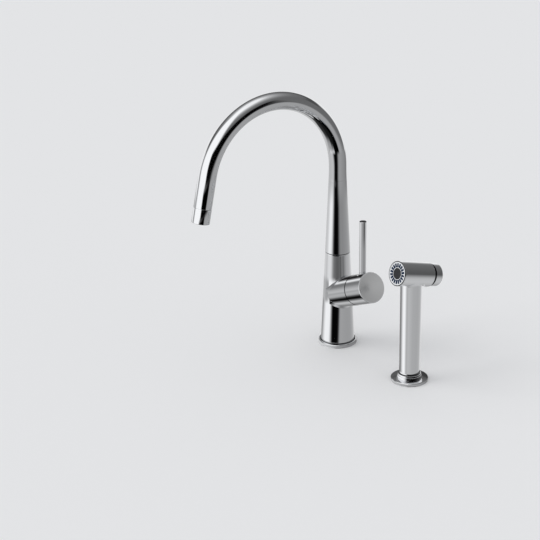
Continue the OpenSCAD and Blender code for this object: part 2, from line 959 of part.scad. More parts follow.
// Slotted nut that holds the cartridge in the housing
module cartridge_nut() {
    height = nut_top - nut_s;
    color(brass_c)
        at_cartridge()
            translate([0, 0, nut_s])
                difference() {
                    ring(nut_bore_r - fit_gap, neck_r + fit_gap, height);
                    for (a = [0:60:120])
                        rotate([0, 0, a])
                            translate([-cartridge_d, -nut_slot_w / 2, height - nut_slot_depth])
                                cube([2 * cartridge_d, nut_slot_w, nut_slot_depth + cut]);
                }
}

// Domed ring that closes the housing's mouth when the lever tilts
module cover_ring() {
    color(chrome_c)
        at_cartridge()
            translate([0, 0, pivot_s])
                intersection() {
                    difference() {
                        sphere(cover_sphere_r);
                        sphere(cover_sphere_r - cover_t);
                    }
                    translate([0, 0, nut_top - pivot_s])
                        ring(cover_r, cover_hole_r, cover_sphere_r);
                }
}

// Lever stem with its ball
module lever_stem() {
    color(steel_c)
        at_cartridge()
            difference() {
                union() {
                    translate([-stem_w / 2, -stem_w / 2, bar_s])
                        cube([stem_w, stem_w, stem_top - bar_s]);
                    translate([0, 0, ball_s])
                        cylinder(r = stem_neck_r, h = bar_s - ball_s + cut);
                    translate([0, 0, ball_s])
                        sphere(ball_r);
                }
                translate([0, 0, pivot_s])
                    rotate([90, 0, 0])
                        cylinder(r = pin_r + run_gap, h = 2 * stem_w, center = true);
            }
}

// Lever cap: a solid turned cap with a spherical hollow about the pivot
module lever_cap() {
    socket_w = stem_w + 2 * fit_gap;
    color(chrome_c)
        difference() {
            at_cartridge()
                rotate_extrude()
                    polygon([
                        [0, cap_s],
                        [cap_r, cap_s],
                        [cap_r, cap_end - cap_edge],
                        [cap_r - cap_edge, cap_end],
                        [0, cap_end]
                    ]);
            at_cartridge() {
                translate([0, 0, pivot_s])
                    sphere(cap_sphere_r);
                translate([-socket_w / 2, -socket_w / 2, pivot_s])
                    cube([socket_w, socket_w, stem_top + fit_gap - pivot_s]);
                translate([0, 0, grub_s])
                    rotate([0, 90, 0])
                        cylinder(r = grub_r, h = cap_d);
            }
            translate([rod_x, 0, rod_z])
                cylinder(r = rod_r, h = rod_top);
        }
}

// Lever rod, upright when the tap is shut
module lever_rod() {
    length = rod_top - rod_z;
    color(chrome_c)
        translate([rod_x, 0, rod_z])
            rotate_extrude()
                polygon([
                    [0, 0],
                    [rod_r, 0],
                    [rod_r, length - rod_edge],
                    [rod_r - rod_edge, length],
                    [0, length]
                ]);
}

// Grub screw that clamps the cap to the stem
module lever_grub_screw() {
    color(steel_c)
        at_cartridge()
            translate([stem_w / 2, 0, grub_s])
                rotate([0, 90, 0])
                    difference() {
                        cylinder(r = grub_r - fit_gap, h = grub_len);
                        translate([0, 0, grub_len - grub_key_depth])
                            cylinder(r = grub_key, h = grub_key_depth + cut, $fn = 6);
                    }
}

// Plug over the grub screw
module grub_screw_plug() {
    color(dark_c)
        at_cartridge()
            translate([cap_r - plug_t - plug_depth, 0, grub_s])
                rotate([0, 90, 0])
                    cylinder(r = grub_r - fit_gap, h = plug_t);
}

// Spray holder: flange and stepped collar
module spray_holder() {
    color(chrome_c)
        at_holder()
            rotate_extrude()
                polygon([
                    [cradle_r + fit_gap, holder_socket],
                    [holder_shank_r + fit_gap, holder_socket],
                    [holder_shank_r + fit_gap, base_seal_t],
                    [holder_seal_r, base_seal_t],
                    [holder_seal_r, 0],
                    [flange_r, 0],
                    [flange_r, flange_h - flange_edge],
                    [flange_r - flange_edge, flange_h],
                    [collar_r + edge, flange_h],
                    [collar_r, flange_h + edge],
                    [collar_r, flange_h + collar_low - edge],
                    [collar_r - collar_step, flange_h + collar_low],
                    [collar_r - collar_step, collar_top - edge],
                    [collar_r - collar_step - edge, collar_top],
                    [cradle_r + fit_gap, collar_top]
                ]);
}

// Shank of the holder: threaded tube, screwed into the flange
module holder_shank() {
    color(brass_c)
        at_holder()
            rotate_extrude()
                polygon([
                    [holder_bore_r, -shank_len],
                    [holder_shank_r - edge, -shank_len],
                    [holder_shank_r, edge - shank_len],
                    [holder_shank_r, holder_socket - edge],
                    [holder_shank_r - edge, holder_socket],
                    [cradle_r + fit_gap, holder_socket],
                    [cradle_r + fit_gap, cradle_z],
                    [holder_bore_r, cradle_z]
                ]);
}

// Plastic cradle in the holder that the hand spray drops into
module spray_cradle() {
    color(dark_c)
        at_holder()
            rotate_extrude()
                polygon([
                    [cradle_throat_r, cradle_z],
                    [cradle_r, cradle_z],
                    [cradle_r, collar_top],
                    [cradle_lip_r, collar_top],
                    [cradle_lip_r, collar_top + cradle_lip_t - edge],
                    [cradle_lip_r - edge, collar_top + cradle_lip_t],
                    [cradle_mouth_r, collar_top + cradle_lip_t]
                ]);
}

// Rubber ring under the holder's flange
module spray_base_seal() {
    color(rubber_c)
        at_holder()
            ring(holder_seal_r - fit_gap, holder_shank_r + fit_gap, base_seal_t - fit_gap);
}

// Rubber gasket of the holder under the worktop
module spray_deck_gasket() {
    color(rubber_c)
        at_holder()
            translate([0, 0, gasket_z])
                ring(holder_fixing_r, holder_shank_r + fixing_gap, gasket_t);
}

// Steel washer of the holder
module spray_washer() {
    color(steel_c)
        at_holder()
            translate([0, 0, washer_z])
                ring(holder_fixing_r, holder_shank_r + fixing_gap, fixing_washer_t);
}

// Nut of the holder
module spray_nut() {
    color(brass_c)
        at_holder()
            translate([0, 0, nut_z])
                hex_nut(holder_hex_r, holder_shank_r + fit_gap);
}

// Coupling on the hose's end, which the hand spray turns on
module hose_coupling() {
    flange_z = ferrule_z - free_gap - coupling_flange;
    clip_w = coupling_clip_t + 2 * fit_gap;
    color(brass_c)
        at_holder()
            difference() {
                rotate_extrude()
                    polygon([
                        [water_r, coupling_end],
                        [coupling_r - edge, coupling_end],
                        [coupling_r, coupling_end + edge],
                        [coupling_r, ferrule_z - free_gap - edge],
                        [coupling_r - edge, ferrule_z - free_gap],
                        [nipple_r - run_gap, ferrule_z - free_gap],
                        [nipple_r - run_gap, nipple_top - edge],
                        [nipple_r - run_gap - edge, nipple_top],
                        [water_r, nipple_top]
                    ]);
                translate([0, 0, coupling_end - cut])
                    cylinder(r = hose_thread_r, h = hose_thread_len + cut);
                translate([0, 0, coupling_ring_z])
                    groove_cut(nipple_r + cut, nipple_r - 2 * coupling_wire_r - 0.2, ring_groove_w);
                translate([0, 0, coupling_clip_z])
                    groove_cut(nipple_r + cut, nipple_r - coupling_clip_in - fit_gap, clip_w);
                translate([0, 0, flange_z])
                    groove_cut(coupling_r + cut, coupling_r - edge, 2 * edge);
            }
}

// Split ring that keeps the coupling in the ferrule
module coupling_clip() {
    color(steel_c)
        at_holder()
            translate([0, 0, coupling_clip_z - coupling_clip_t / 2])
                rotate_extrude(angle = clip_angle)
                    translate([nipple_r - coupling_clip_in, 0])
                        square([coupling_clip_w, coupling_clip_t]);
}

// Seal of the coupling
module coupling_o_ring() {
    color(rubber_c)
        at_holder()
            translate([0, 0, coupling_ring_z])
                o_ring(nipple_r - seal_gap - coupling_wire_r, coupling_wire_r);
}

// Hand spray shell: handle and barrel in one piece
module spray_body() {
    color(chrome_c)
        difference() {
            union() {
                at_holder()
                    translate([0, 0, grip_z])
                        rotate_extrude()
                            polygon([
                                [0, 0],
                                [grip_foot_r - edge, 0],
                                [grip_foot_r, edge],
                                [grip_top_r, barrel_h - grip_z],
                                [0, barrel_h - grip_z]
                            ]);
                at_barrel()
                    rotate_extrude()
                        polygon([
                            [0, -barrel_rear],
                            [barrel_r - barrel_edge, -barrel_rear],
                            [barrel_r, barrel_edge - barrel_rear],
                            [barrel_r, barrel_front - barrel_edge],
                            [barrel_r - barrel_edge, barrel_front],
                            [0, barrel_front]
                        ]);
            }
            at_holder()
                translate([0, 0, grip_z - cut])
                    cylinder(r = grip_bore_r, h = barrel_h - grip_z);
            at_barrel() {
                translate([0, 0, -barrel_rear - cut])
                    cylinder(r = barrel_bore_r, h = barrel_rear + barrel_front + 2 * cut);
                translate([0, 0, pocket_back])
                    cylinder(r = face_r + fit_gap, h = face_pocket + cut);
            }
        }
}

// Tapered ferrule under the handle that centres the spray in its cradle
module spray_ferrule() {
    clip_groove_r = nipple_r - coupling_clip_in + coupling_clip_w + free_gap;
    clip_groove = coupling_clip_t / 2 + free_gap;
    color(dark_c)
        at_holder()
            rotate_extrude()
                polygon([
                    [nipple_r, ferrule_z],
                    [ferrule_end_r - edge, ferrule_z],
                    [ferrule_end_r, ferrule_z + edge],
                    [ferrule_top_r, grip_z],
                    [grip_bore_r - fit_gap, grip_z],
                    [grip_bore_r - fit_gap, grip_z + ferrule_in],
                    [water_r, grip_z + ferrule_in],
                    [water_r, nipple_top + free_gap],
                    [nipple_r, nipple_top + free_gap],
                    [nipple_r, coupling_clip_z + clip_groove],
                    [clip_groove_r, coupling_clip_z + clip_groove],
                    [clip_groove_r, coupling_clip_z - clip_groove],
                    [nipple_r, coupling_clip_z - clip_groove]
                ]);
}

// Check valve over the ferrule, with four ribs that centre it in the handle
module check_valve() {
    color(blue_c)
        at_holder()
            translate([0, 0, check_z])
                difference() {
                    union() {
                        cylinder(r = waterway_r, h = check_h);
                        for (a = [0, 90])
                            rotate([0, 0, a])
                                translate([fit_gap - grip_bore_r, -rib_w / 2, rib_end])
                                    cube([2 * (grip_bore_r - fit_gap), rib_w, check_h - 2 * rib_end]);
                    }
                    translate([0, 0, -cut])
                        cylinder(r = water_r, h = check_h + 2 * cut);
                }
}

// Water tube in the handle, screwed into the valve block
module spray_waterway() {
    bottom = check_z + check_h;
    color(plastic_c)
        at_holder()
            rotate_extrude()
                polygon([
                    [water_r - 1, bottom],
                    [waterway_r, bottom],
                    [waterway_r, block_foot - 1],
                    [block_thread_r, block_foot - 1],
                    [block_thread_r, barrel_h - chamber_in_r - 1],
                    [water_r - 1, barrel_h - chamber_in_r - 1]
                ]);
}

// Valve block in the barrel
module valve_block() {
    color(plastic_c)
        difference() {
            at_barrel()
                translate([0, 0, -block_rear])
                    cylinder(r = barrel_bore_r - fit_gap, h = block_rear + block_front);
            at_barrel() {
                translate([0, 0, -block_rear - cut])
                    cylinder(r = valve_stem_r + run_gap, h = block_rear + cut);
                translate([0, 0, guide_wall - block_rear])
                    cylinder(r = chamber_in_r, h = block_rear - guide_wall);
                cylinder(r = seat_r, h = seat_t + cut);
                translate([0, 0, seat_t])
                    cylinder(r = chamber_out_r, h = block_front);
            }
            at_holder()
                translate([0, 0, block_foot - 2 * barrel_r])
                    cylinder(r = block_thread_r, h = 2 * barrel_r + barrel_h - block_foot - chamber_in_r);
        }
}

// Return spring of the push button
module valve_spring() {
    room = barrel_rear + button_groove - button_shank + button_well - block_rear;
    height = room - button_travel - free_gap;
    color(steel_c)
        at_barrel()
            translate([0, 0, -block_rear])
                rotate([180, 0, 0])
                    coil_spring(valve_spring_r, valve_spring_wire_r, valve_spring_turns, height);
}

// Flat seal behind the nozzle ring
module face_gasket() {
    color(rubber_c)
        at_barrel()
            translate([0, 0, pocket_back])
                ring(face_r, barrel_bore_r - face_gasket_w, face_gasket_t);
}

// Soft nozzle ring: its blades come through the slots of the faceplate
module nozzle_ring() {
    back = pocket_back + face_gasket_t;
    color(blue_c)
        at_barrel() {
            difference() {
                translate([0, 0, back])
                    cylinder(r = face_r - fit_gap, h = plate_back - back);
                translate([0, 0, back - cut])
                    cylinder(r = slot_in - nozzle_rim, h = plate_back - back + 2 * cut);
            }
            for (i = [1:slot_count])
                rotate([0, 0, 360 * i / slot_count])
                    translate([slot_in + fit_gap, fit_gap - slot_w / 2, plate_back - fit_gap])
                        cube([slot_out - slot_in - 2 * fit_gap, slot_w - 2 * fit_gap, plate_t + blade_out]);
        }
}

// White faceplate with its ring of slots
module spray_faceplate() {
    color(plastic_c)
        at_barrel()
            translate([0, 0, plate_back])
                difference() {
                    cylinder(r = face_r, h = plate_t);
                    translate([0, 0, -cut])
                        cylinder(r = centre_r + fit_gap, h = plate_t + 2 * cut);
                    for (i = [1:slot_count])
                        rotate([0, 0, 360 * i / slot_count])
                            translate([slot_in, -slot_w / 2, -cut])
                                cube([slot_out - slot_in, slot_w, plate_t + 2 * cut]);
                }
}

// Dark centre of the face, with the screw boss that holds the plate
module face_centre() {
    back = pocket_back + face_gasket_t;
    front = plate_back + plate_t + centre_out;
    color(dark_c)
        at_barrel()
            rotate_extrude()
                polygon([
                    [0, back],
                    [centre_r - centre_step, back],
                    [centre_r - centre_step, plate_back],
                    [centre_r, plate_back],
                    [centre_r, front],
                    [centre_r - edge, front + edge],
                    [0, front + edge]
                ]);
}

// Stem between the button and the valve washer
module valve_stem() {
    start = button_front + button_shank - button_well;
    tip = seat_t + valve_gap + valve_washer_t;
    color(steel_c)
        at_barrel()
            rotate_extrude()
                polygon([
                    [0, start],
                    [valve_stem_r, start],
                    [valve_stem_r, seat_t + valve_gap],
                    [valve_stem_r - stem_step, seat_t + valve_gap],
                    [valve_stem_r - stem_step, tip],
                    [valve_stem_r + stem_step, tip],
                    [valve_stem_r + stem_step, tip + stem_head_t],
                    [0, tip + stem_head_t]
                ]);
}

// Rubber washer that shuts the valve
module valve_washer() {
    color(rubber_c)
        at_barrel()
            translate([0, 0, seat_t + valve_gap])
                ring(valve_washer_r, valve_stem_r - stem_step, valve_washer_t);
}

// Push button, with its shank in the barrel
module spray_button() {
    shank_r = barrel_bore_r - run_gap;
    front = button_front + button_shank;
    round_steps = [for (a = [90:-15:0]) [
        button_r - button_round * (1 - cos(a)),
        button_end + button_round * (1 - sin(a))
    ]];
    color(chrome_c)
        at_barrel()
            difference() {
                rotate_extrude()
                    polygon(concat(
                        [[0, button_end]],
                        round_steps,
                        [
                            [button_r, button_front - edge],
                            [button_r - edge, button_front],
                            [shank_r, button_front],
                            [shank_r, front],
                            [0, front]
                        ]
                    ));
                translate([0, 0, front - button_well])
                    cylinder(r = button_well_r, h = button_well + cut);
                translate([0, 0, button_ring_s])
                    groove_cut(shank_r + cut, barrel_bore_r - 2 * (seal_gap + button_wire_r), ring_groove_w);
            }
}

// Seal of the push button
module button_o_ring() {
    color(rubber_c)
        at_barrel()
            translate([0, 0, button_ring_s])
                o_ring(barrel_bore_r - seal_gap - button_wire_r, button_wire_r);
}

body();
base_ring();
base_seal();
mounting_shank();
deck_gasket();
clamp_washer();
clamp_nut();
swivel_washer();
spout_glide_rings();
spout_o_rings();
spout_retaining_ring();
diverter_housing();
diverter_spindle();
diverter_spring();
spout();
aerator_housing();
aerator_insert();
aerator_washer();
cartridge_base();
cartridge_base_seals();
fixed_ceramic_disc();
moving_ceramic_disc();
disc_driver();
cartridge_carrier();
carrier_o_ring();
pivot_pin();
cartridge_casing();
cartridge_nut();
cover_ring();
lever_stem();
lever_cap();
lever_rod();
lever_grub_screw();
grub_screw_plug();
spray_holder();
holder_shank();
spray_cradle();
spray_base_seal();
spray_deck_gasket();
spray_washer();
spray_nut();
hose_coupling();
coupling_clip();
coupling_o_ring();
spray_body();
spray_ferrule();
check_valve();
spray_waterway();
valve_block();
valve_spring();
face_gasket();
nozzle_ring();
spray_faceplate();
face_centre();
valve_stem();
valve_washer();
spray_button();
button_o_ring();
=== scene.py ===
"""Looks of a chrome kitchen tap with a gooseneck spout and a hand spray that stands in a deck holder.

Lengths are in millimetres while a piece is shaped, and in metres once it is placed in the frame.
In the names of sizes, _r ends a radius, _z and _h a height, _w a width, and _s a distance along the
cartridge's axis. A third number in a corner of an outline is that corner's rounding.
"""

import json
import logging
import math
from dataclasses import astuple, dataclass
from enum import Enum
from typing import Callable, Sequence

import bpy
from mathutils import Matrix, Vector


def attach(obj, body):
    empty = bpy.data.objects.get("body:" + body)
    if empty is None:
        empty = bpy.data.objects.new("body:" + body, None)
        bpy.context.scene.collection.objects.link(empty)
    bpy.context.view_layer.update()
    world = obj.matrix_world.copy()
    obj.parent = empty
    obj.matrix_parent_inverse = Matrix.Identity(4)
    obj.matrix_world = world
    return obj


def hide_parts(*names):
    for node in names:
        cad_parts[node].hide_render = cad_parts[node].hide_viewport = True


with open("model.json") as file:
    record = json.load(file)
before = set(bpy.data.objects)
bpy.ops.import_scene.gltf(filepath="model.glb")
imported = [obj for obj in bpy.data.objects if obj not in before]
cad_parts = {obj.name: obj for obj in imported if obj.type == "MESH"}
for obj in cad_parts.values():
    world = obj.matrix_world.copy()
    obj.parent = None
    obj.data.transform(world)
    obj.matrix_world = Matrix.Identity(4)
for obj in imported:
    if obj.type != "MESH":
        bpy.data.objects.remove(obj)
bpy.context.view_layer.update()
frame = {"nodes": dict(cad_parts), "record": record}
LOG = logging.getLogger("tap")

Colour = tuple[float, float, float]
Point = tuple[float, float, float]
Corner = tuple[float, ...]
Outline = Sequence[Corner]
Piece = bpy.types.Object
Socket = bpy.types.NodeSocket
Sockets = dict[str, Socket]


class Body(str, Enum):
    """The moving bodies that the new pieces ride on."""

    TAP = "tap"
    SPOUT = "spout"
    LEVER = "lever"
    HAND_SPRAY = "hand_spray"
    BUTTON = "button"


class Join(str, Enum):
    """How a tool changes a piece."""

    FUSE = "UNION"
    CUT = "DIFFERENCE"


class Slot(str, Enum):
    """The record's material slots."""

    CHROME = "chrome"
    STEEL = "steel"
    BRASS = "brass"
    RUBBER = "rubber"
    WHITE_PLASTIC = "white_plastic"
    FACE_PLASTIC = "face_plastic"
    DARK_PLASTIC = "dark_plastic"
    BLUE_PLASTIC = "blue_plastic"
    CERAMIC = "ceramic"


# ---- places, in the row frame: the tilt is the housing's, and the bend is the gooseneck's ----
TILT = math.radians(22.8)
BEND = math.radians(168)
BEND_R = 105.0
BEND_Z = 260.5
SPRAY_X = 160.5
BARREL_Y = 1.0
BARREL_Z = 151.0
BARREL_TILT = math.radians(14.2)
BOSS_H = 73.5

UPRIGHT = Matrix.Identity(4)
CARTRIDGE = Matrix.Translation((0, 0, BOSS_H)) @ Matrix.Rotation(math.pi / 2 - TILT, 4, "Y")
BEND_END = (0, -BEND_R * (1 - math.cos(BEND)), BEND_Z + BEND_R * math.sin(BEND))
DROP = Matrix.Translation(BEND_END) @ Matrix.Rotation(BEND, 4, "X")
HOLDER = Matrix.Translation((SPRAY_X, 0, 0))
BARREL_AT = Matrix.Translation((SPRAY_X, BARREL_Y, BARREL_Z))
BARREL = BARREL_AT @ Matrix.Rotation(math.pi / 2 - BARREL_TILT, 4, "X")
TO_METRES = Matrix.Scale(0.001, 4)


class Bench:
    """Modelling steps that every piece uses, in millimetres about the local Z axis."""

    steps = 144
    weld = 0.0005
    thread_steps = 40

    @staticmethod
    def clear() -> None:
        """Deselects every object and leaves edit mode."""
        if bpy.context.object and bpy.context.object.mode != "OBJECT":
            bpy.ops.object.mode_set(mode="OBJECT")
        bpy.ops.object.select_all(action="DESELECT")

    @staticmethod
    def only(piece: Piece) -> None:
        """Selects one piece and makes it active."""
        Bench.clear()
        piece.select_set(True)
        bpy.context.view_layer.objects.active = piece

    @staticmethod
    def joined(piece: Piece, *others: Piece) -> Piece:
        """Makes other pieces part of one piece's mesh."""
        Bench.only(piece)
        for other in others:
            other.select_set(True)
        bpy.ops.object.join()
        return piece

    @staticmethod
    def modified(piece: Piece, kind: str, **values: object) -> Piece:
        """Gives a piece a modifier with the given settings, and applies it."""
        Bench.only(piece)
        step = piece.modifiers.new(kind.lower(), kind)
        for key, value in values.items():
            setattr(step, key, value)
        bpy.ops.object.modifier_apply(modifier=step.name)
        return piece

    @staticmethod
    def rounded(corners: Outline, arc: int = 5) -> list[tuple[float, float]]:
        """Turns an outline with corner radii into plain points.

        Args:
            corners: (radius, height) or (radius, height, rounding) for each corner.
            arc: steps on each rounded corner.

        Returns:
            The outline's points, with each rounding drawn as an arc.
        """
        made: list[tuple[float, float]] = []
        count = len(corners)
        for i, corner in enumerate(corners):
            here = Vector(corner[:2])
            rounding = corner[2] if len(corner) > 2 else 0.0
            if not rounding:
                made.append((here.x, here.y))
                continue
            before = (Vector(corners[i - 1][:2]) - here).normalized()
            after = (Vector(corners[(i + 1) % count][:2]) - here).normalized()
            half = before.angle(after) / 2
            reach = rounding / math.tan(half)
            centre = here + (before + after).normalized() * (rounding / math.sin(half))
            start = here + before * reach - centre
            end = here + after * reach - centre
            sweep = start.angle_signed(end)
            for k in range(arc + 1):
                turned = start.copy()
                turned.rotate(Matrix.Rotation(-sweep * k / arc, 2))
                made.append((centre.x + turned.x, centre.y + turned.y))
        return made

    @staticmethod
    def draw(points: Outline) -> None:
        """Draws a chain of edges in edit mode, one extrusion for each (x, z) point."""
        bpy.ops.mesh.merge(type="CENTER")
        bpy.ops.transform.translate(value=(points[0][0], 0, points[0][1]))
        for (x0, z0), (x1, z1) in zip(points, points[1:]):
            bpy.ops.mesh.extrude_vertices_move(TRANSFORM_OT_translate={"value": (x1 - x0, 0, z1 - z0)})

    @staticmethod
    def start(name: str) -> Piece:
        """Adds the small plane that a piece is drawn from, and enters edit mode."""
        Bench.clear()
        bpy.ops.mesh.primitive_plane_add(size=1, location=(0, 0, 0))
        piece = bpy.context.object
        piece.name = name
        piece.data.name = name
        bpy.ops.object.mode_set(mode="EDIT")
        bpy.ops.mesh.select_mode(type="VERT")
        bpy.ops.mesh.select_all(action="SELECT")
        return piece

    @staticmethod
    def sealed(fill: bool = False) -> None:
        """Merges doubles, closes holes if asked, turns the faces outwards and leaves edit mode."""
        bpy.ops.mesh.select_all(action="SELECT")
        bpy.ops.mesh.remove_doubles(threshold=Bench.weld)
        if fill:
            bpy.ops.mesh.fill_holes(sides=0)
        bpy.ops.mesh.normals_make_consistent(inside=False)
        bpy.ops.object.mode_set(mode="OBJECT")

    @staticmethod
    def turned(name: str, outline: Outline, closed: bool = True, steps: int = 0, arc: int = 5) -> Piece:
        """Turns an outline about the local Z axis, as on a lathe.

        Args:
            name: the piece's name.
            outline: (radius, height) or (radius, height, rounding) for each corner.
            closed: joins the last corner to the first.
            steps: facets round the axis, or 0 for the usual number.
            arc: steps on each rounded corner.

        Returns:
            The turned piece, still in millimetres.
        """
        piece = Bench.start(name)
        if any(len(corner) > 2 for corner in outline):
            outline = Bench.rounded(outline, arc)
        Bench.draw([*outline, outline[0]] if closed else outline)
        bpy.ops.mesh.select_all(action="SELECT")
        bpy.ops.mesh.spin(steps=steps or Bench.steps, angle=2 * math.pi, center=(0, 0, 0), axis=(0, 0, 1))
        Bench.sealed()
        return piece

    @staticmethod
    def rod(name: str, radius: float, low: float, high: float, sides: int = 0) -> Piece:
        """A turned rod or, with few sides, a prism, used as a cutter."""
        return Bench.turned(name, [(0, low), (radius, low), (radius, high), (0, high)], False, sides)

    @staticmethod
    def block(name: str, low: Point, high: Point) -> Piece:
        """A block between two corners, used as a cutter or as a start."""
        Bench.clear()
        size = Vector(high) - Vector(low)
        bpy.ops.mesh.primitive_cube_add(size=1, location=(Vector(low) + Vector(high)) / 2, scale=size)
        bpy.ops.object.transform_apply(location=True, rotation=True, scale=True)
        bpy.context.object.name = name
        return bpy.context.object

    @staticmethod
    def moved(piece: Piece, place: Matrix) -> Piece:
        """Moves a piece's mesh by a matrix, and leaves its object at the origin."""
        Bench.only(piece)
        piece.matrix_world = place @ piece.matrix_world
        bpy.ops.object.transform_apply(location=True, rotation=True, scale=True)
        return piece

    @staticmethod
    def combine(piece: Piece, tool: Piece, how: Join) -> Piece:
        """Joins or cuts a piece with a tool, by an applied Boolean modifier.

        Args:
            piece: what is changed.
            tool: the other solid, removed afterwards.
            how: whether the tool is added or taken away.

        Returns:
            The changed piece.
        """
        Bench.modified(piece, "BOOLEAN", operation=how.value, solver="EXACT", object=tool)
        bpy.data.objects.remove(tool, do_unlink=True)
        return piece

    @staticmethod
    def cut(piece: Piece, tool: Piece, place: Matrix = UPRIGHT) -> Piece:
        """Moves a tool to its place and cuts it out of a piece."""
        return Bench.combine(piece, Bench.moved(tool, place), Join.CUT)

    @staticmethod
    def welded(piece: Piece, gap: float = 0.002) -> Piece:
        """Merges the vertices that a cut left closer together than the gap."""
        Bench.only(piece)
        bpy.ops.object.mode_set(mode="EDIT")
        bpy.ops.mesh.select_all(action="SELECT")
        bpy.ops.mesh.remove_doubles(threshold=gap)
        bpy.ops.object.mode_set(mode="OBJECT")
        return piece

    @staticmethod
    def smooth(piece: Piece, degrees: float = 28) -> Piece:
        """Shades a piece smooth, with edges sharper than the angle kept sharp."""
        Bench.only(piece)
        bpy.ops.object.shade_smooth_by_angle(angle=math.radians(degrees))
        return piece

    @staticmethod
    def broken(piece: Piece, width: float, segments: int, degrees: float = 40) -> Piece:
        """Breaks a piece's sharp edges with an applied Bevel modifier."""
        sharp = math.radians(degrees)
        return Bench.modified(
            piece, "BEVEL", width=width, segments=segments, limit_method="ANGLE", angle_limit=sharp
        )

    @staticmethod
    def ridge(name: str, root: float, crest: float, pitch: float, turns: int, low: float) -> Piece:
        """A thread's ridge, wound up the local Z axis by an applied Screw modifier.

        Args:
            name: the piece's name.
            root: radius that the ridge grows from.
            crest: radius of its flat top.
            pitch: rise of one turn.
            turns: number of turns.
            low: height at which it starts.

        Returns:
            The ridge as a closed solid.
        """
        piece = Bench.start(name)
        middle, flat, foot = low + pitch / 2, pitch * 0.08, pitch * 0.98
        Bench.draw([(root, low), (crest, middle - flat), (crest, middle + flat), (root, low + foot)])
        bpy.ops.mesh.select_all(action="SELECT")
        bpy.ops.mesh.edge_face_add()
        bpy.ops.object.mode_set(mode="OBJECT")
        steps = Bench.thread_steps
        Bench.modified(
            piece, "SCREW", screw_offset=pitch, iterations=turns, steps=steps, render_steps=steps,
            use_normal_calculate=True,
        )
        bpy.ops.object.mode_set(mode="EDIT")
        Bench.sealed(fill=True)
        return piece


@dataclass(frozen=True)
class Nodes:
    """Short ways to place and join the shader nodes of one tree."""

    tree: bpy.types.NodeTree

    def put(self, socket: Socket, value: object) -> None:
        """Sets an input, or links it where the value is a socket."""
        if isinstance(value, Socket):
            self.tree.links.new(value, socket)
        else:
            socket.default_value = value

    def add(self, kind: str, **values: object) -> bpy.types.Node:
        """Adds a node and sets its properties and named inputs.

        Args:
            kind: the node's type without its ShaderNode prefix.
            values: properties, or inputs by name with spaces written as underscores.

        Returns:
            The new node.
        """
        node = self.tree.nodes.new("ShaderNode" + kind)
        for key, value in values.items():
            if hasattr(node, key):
                setattr(node, key, value)
            else:
                self.put(node.inputs[key.replace("_", " ")], value)
        return node

    def sum(self, how: str, *values: object) -> Socket:
        """A Math node of the given kind on up to three values."""
        node = self.add("Math", operation=how)
        for socket, value in zip(node.inputs, values):
            self.put(socket, value)
        return node.outputs[0]

    def soft(self, value: Socket, start: object, end: object, falling: bool = False) -> Socket:
        """A soft step between two values, from 0 to 1 or, if it is falling, from 1 to 0."""
        step = self.add("MapRange", interpolation_type="SMOOTHSTEP", From_Min=start, From_Max=end)
        self.put(step.inputs["Value"], value)
        if falling:
            step.inputs["To Min"].default_value = 1.0
            step.inputs["To Max"].default_value = 0.0
        return step.outputs[0]

    def azimuth(self, x: Socket, y: Socket, zero: float) -> Socket:
        """Angle in degrees round the Z axis, from -Y towards +X, less the angle of its zero."""
        turn = self.sum("ARCTAN2", x, self.sum("MULTIPLY", y, -1.0))
        return self.sum("SUBTRACT", self.sum("MULTIPLY", turn, 180 / math.pi), zero)

    def ramp(self, fac: Socket, stops: Sequence[tuple[float, float]]) -> Socket:
        """A grey Color Ramp, from (position, grey) pairs."""
        node = self.add("ValToRGB", Fac=fac)
        band = node.color_ramp
        while len(band.elements) < len(stops):
            band.elements.new(0.5)
        for element, (position, grey) in zip(band.elements, stops):
            element.position = position
            element.color = (grey, grey, grey, 1)
        return node.outputs[0]

    def mix(self, mask: Socket, first: object, second: object) -> Socket:
        """Mixes two colours by a mask. The node keeps them at sockets 6 and 7, and the result at 2."""
        node = self.add("Mix", data_type="RGBA")
        for place, value in ((0, mask), (6, first), (7, second)):
            self.put(node.inputs[place], value)
        return node.outputs[2]

    def blend(self, mask: Socket, first: bpy.types.Node, second: bpy.types.Node) -> bpy.types.Node:
        """Mixes two shaders by a mask."""
        node = self.add("MixShader")
        for socket, value in zip(node.inputs, (mask, first.outputs[0], second.outputs[0])):
            self.put(socket, value)
        return node

    def placed(self, group: bpy.types.NodeTree, values: dict[str, object]) -> bpy.types.Node:
        """Places a node group, with its own values."""
        node = self.add("Group")
        node.node_tree = group
        for key, value in values.items():
            self.put(node.inputs[key], value)
        return node

    @staticmethod
    def group(
        name: str, inputs: dict[str, float | None], outputs: dict[str, str], wire: "Wire"
    ) -> bpy.types.NodeTree:
        """Builds a shared effect as a node group.

        Args:
            name: the group's name.
            inputs: socket name to its default value, or None for a vector.
            outputs: socket name to its kind.
            wire: fills the tree, and returns the socket for each output.

        Returns:
            The node group.
        """
        tree = bpy.data.node_groups.new(name, "ShaderNodeTree")
        for key, value in inputs.items():
            kind = "NodeSocketVector" if value is None else "NodeSocketFloat"
            socket = tree.interface.new_socket(key, in_out="INPUT", socket_type=kind)
            if value is not None:
                socket.default_value = value
        for key, kind in outputs.items():
            tree.interface.new_socket(key, in_out="OUTPUT", socket_type="NodeSocket" + kind)
        entry = tree.nodes.new("NodeGroupInput")
        leave = tree.nodes.new("NodeGroupOutput")
        found = wire(Nodes(tree), {key: entry.outputs[key] for key in inputs})
        for key, socket in found.items():
            tree.links.new(socket, leave.inputs[key])
        return tree


Wire = Callable[[Nodes, Sockets], Sockets]


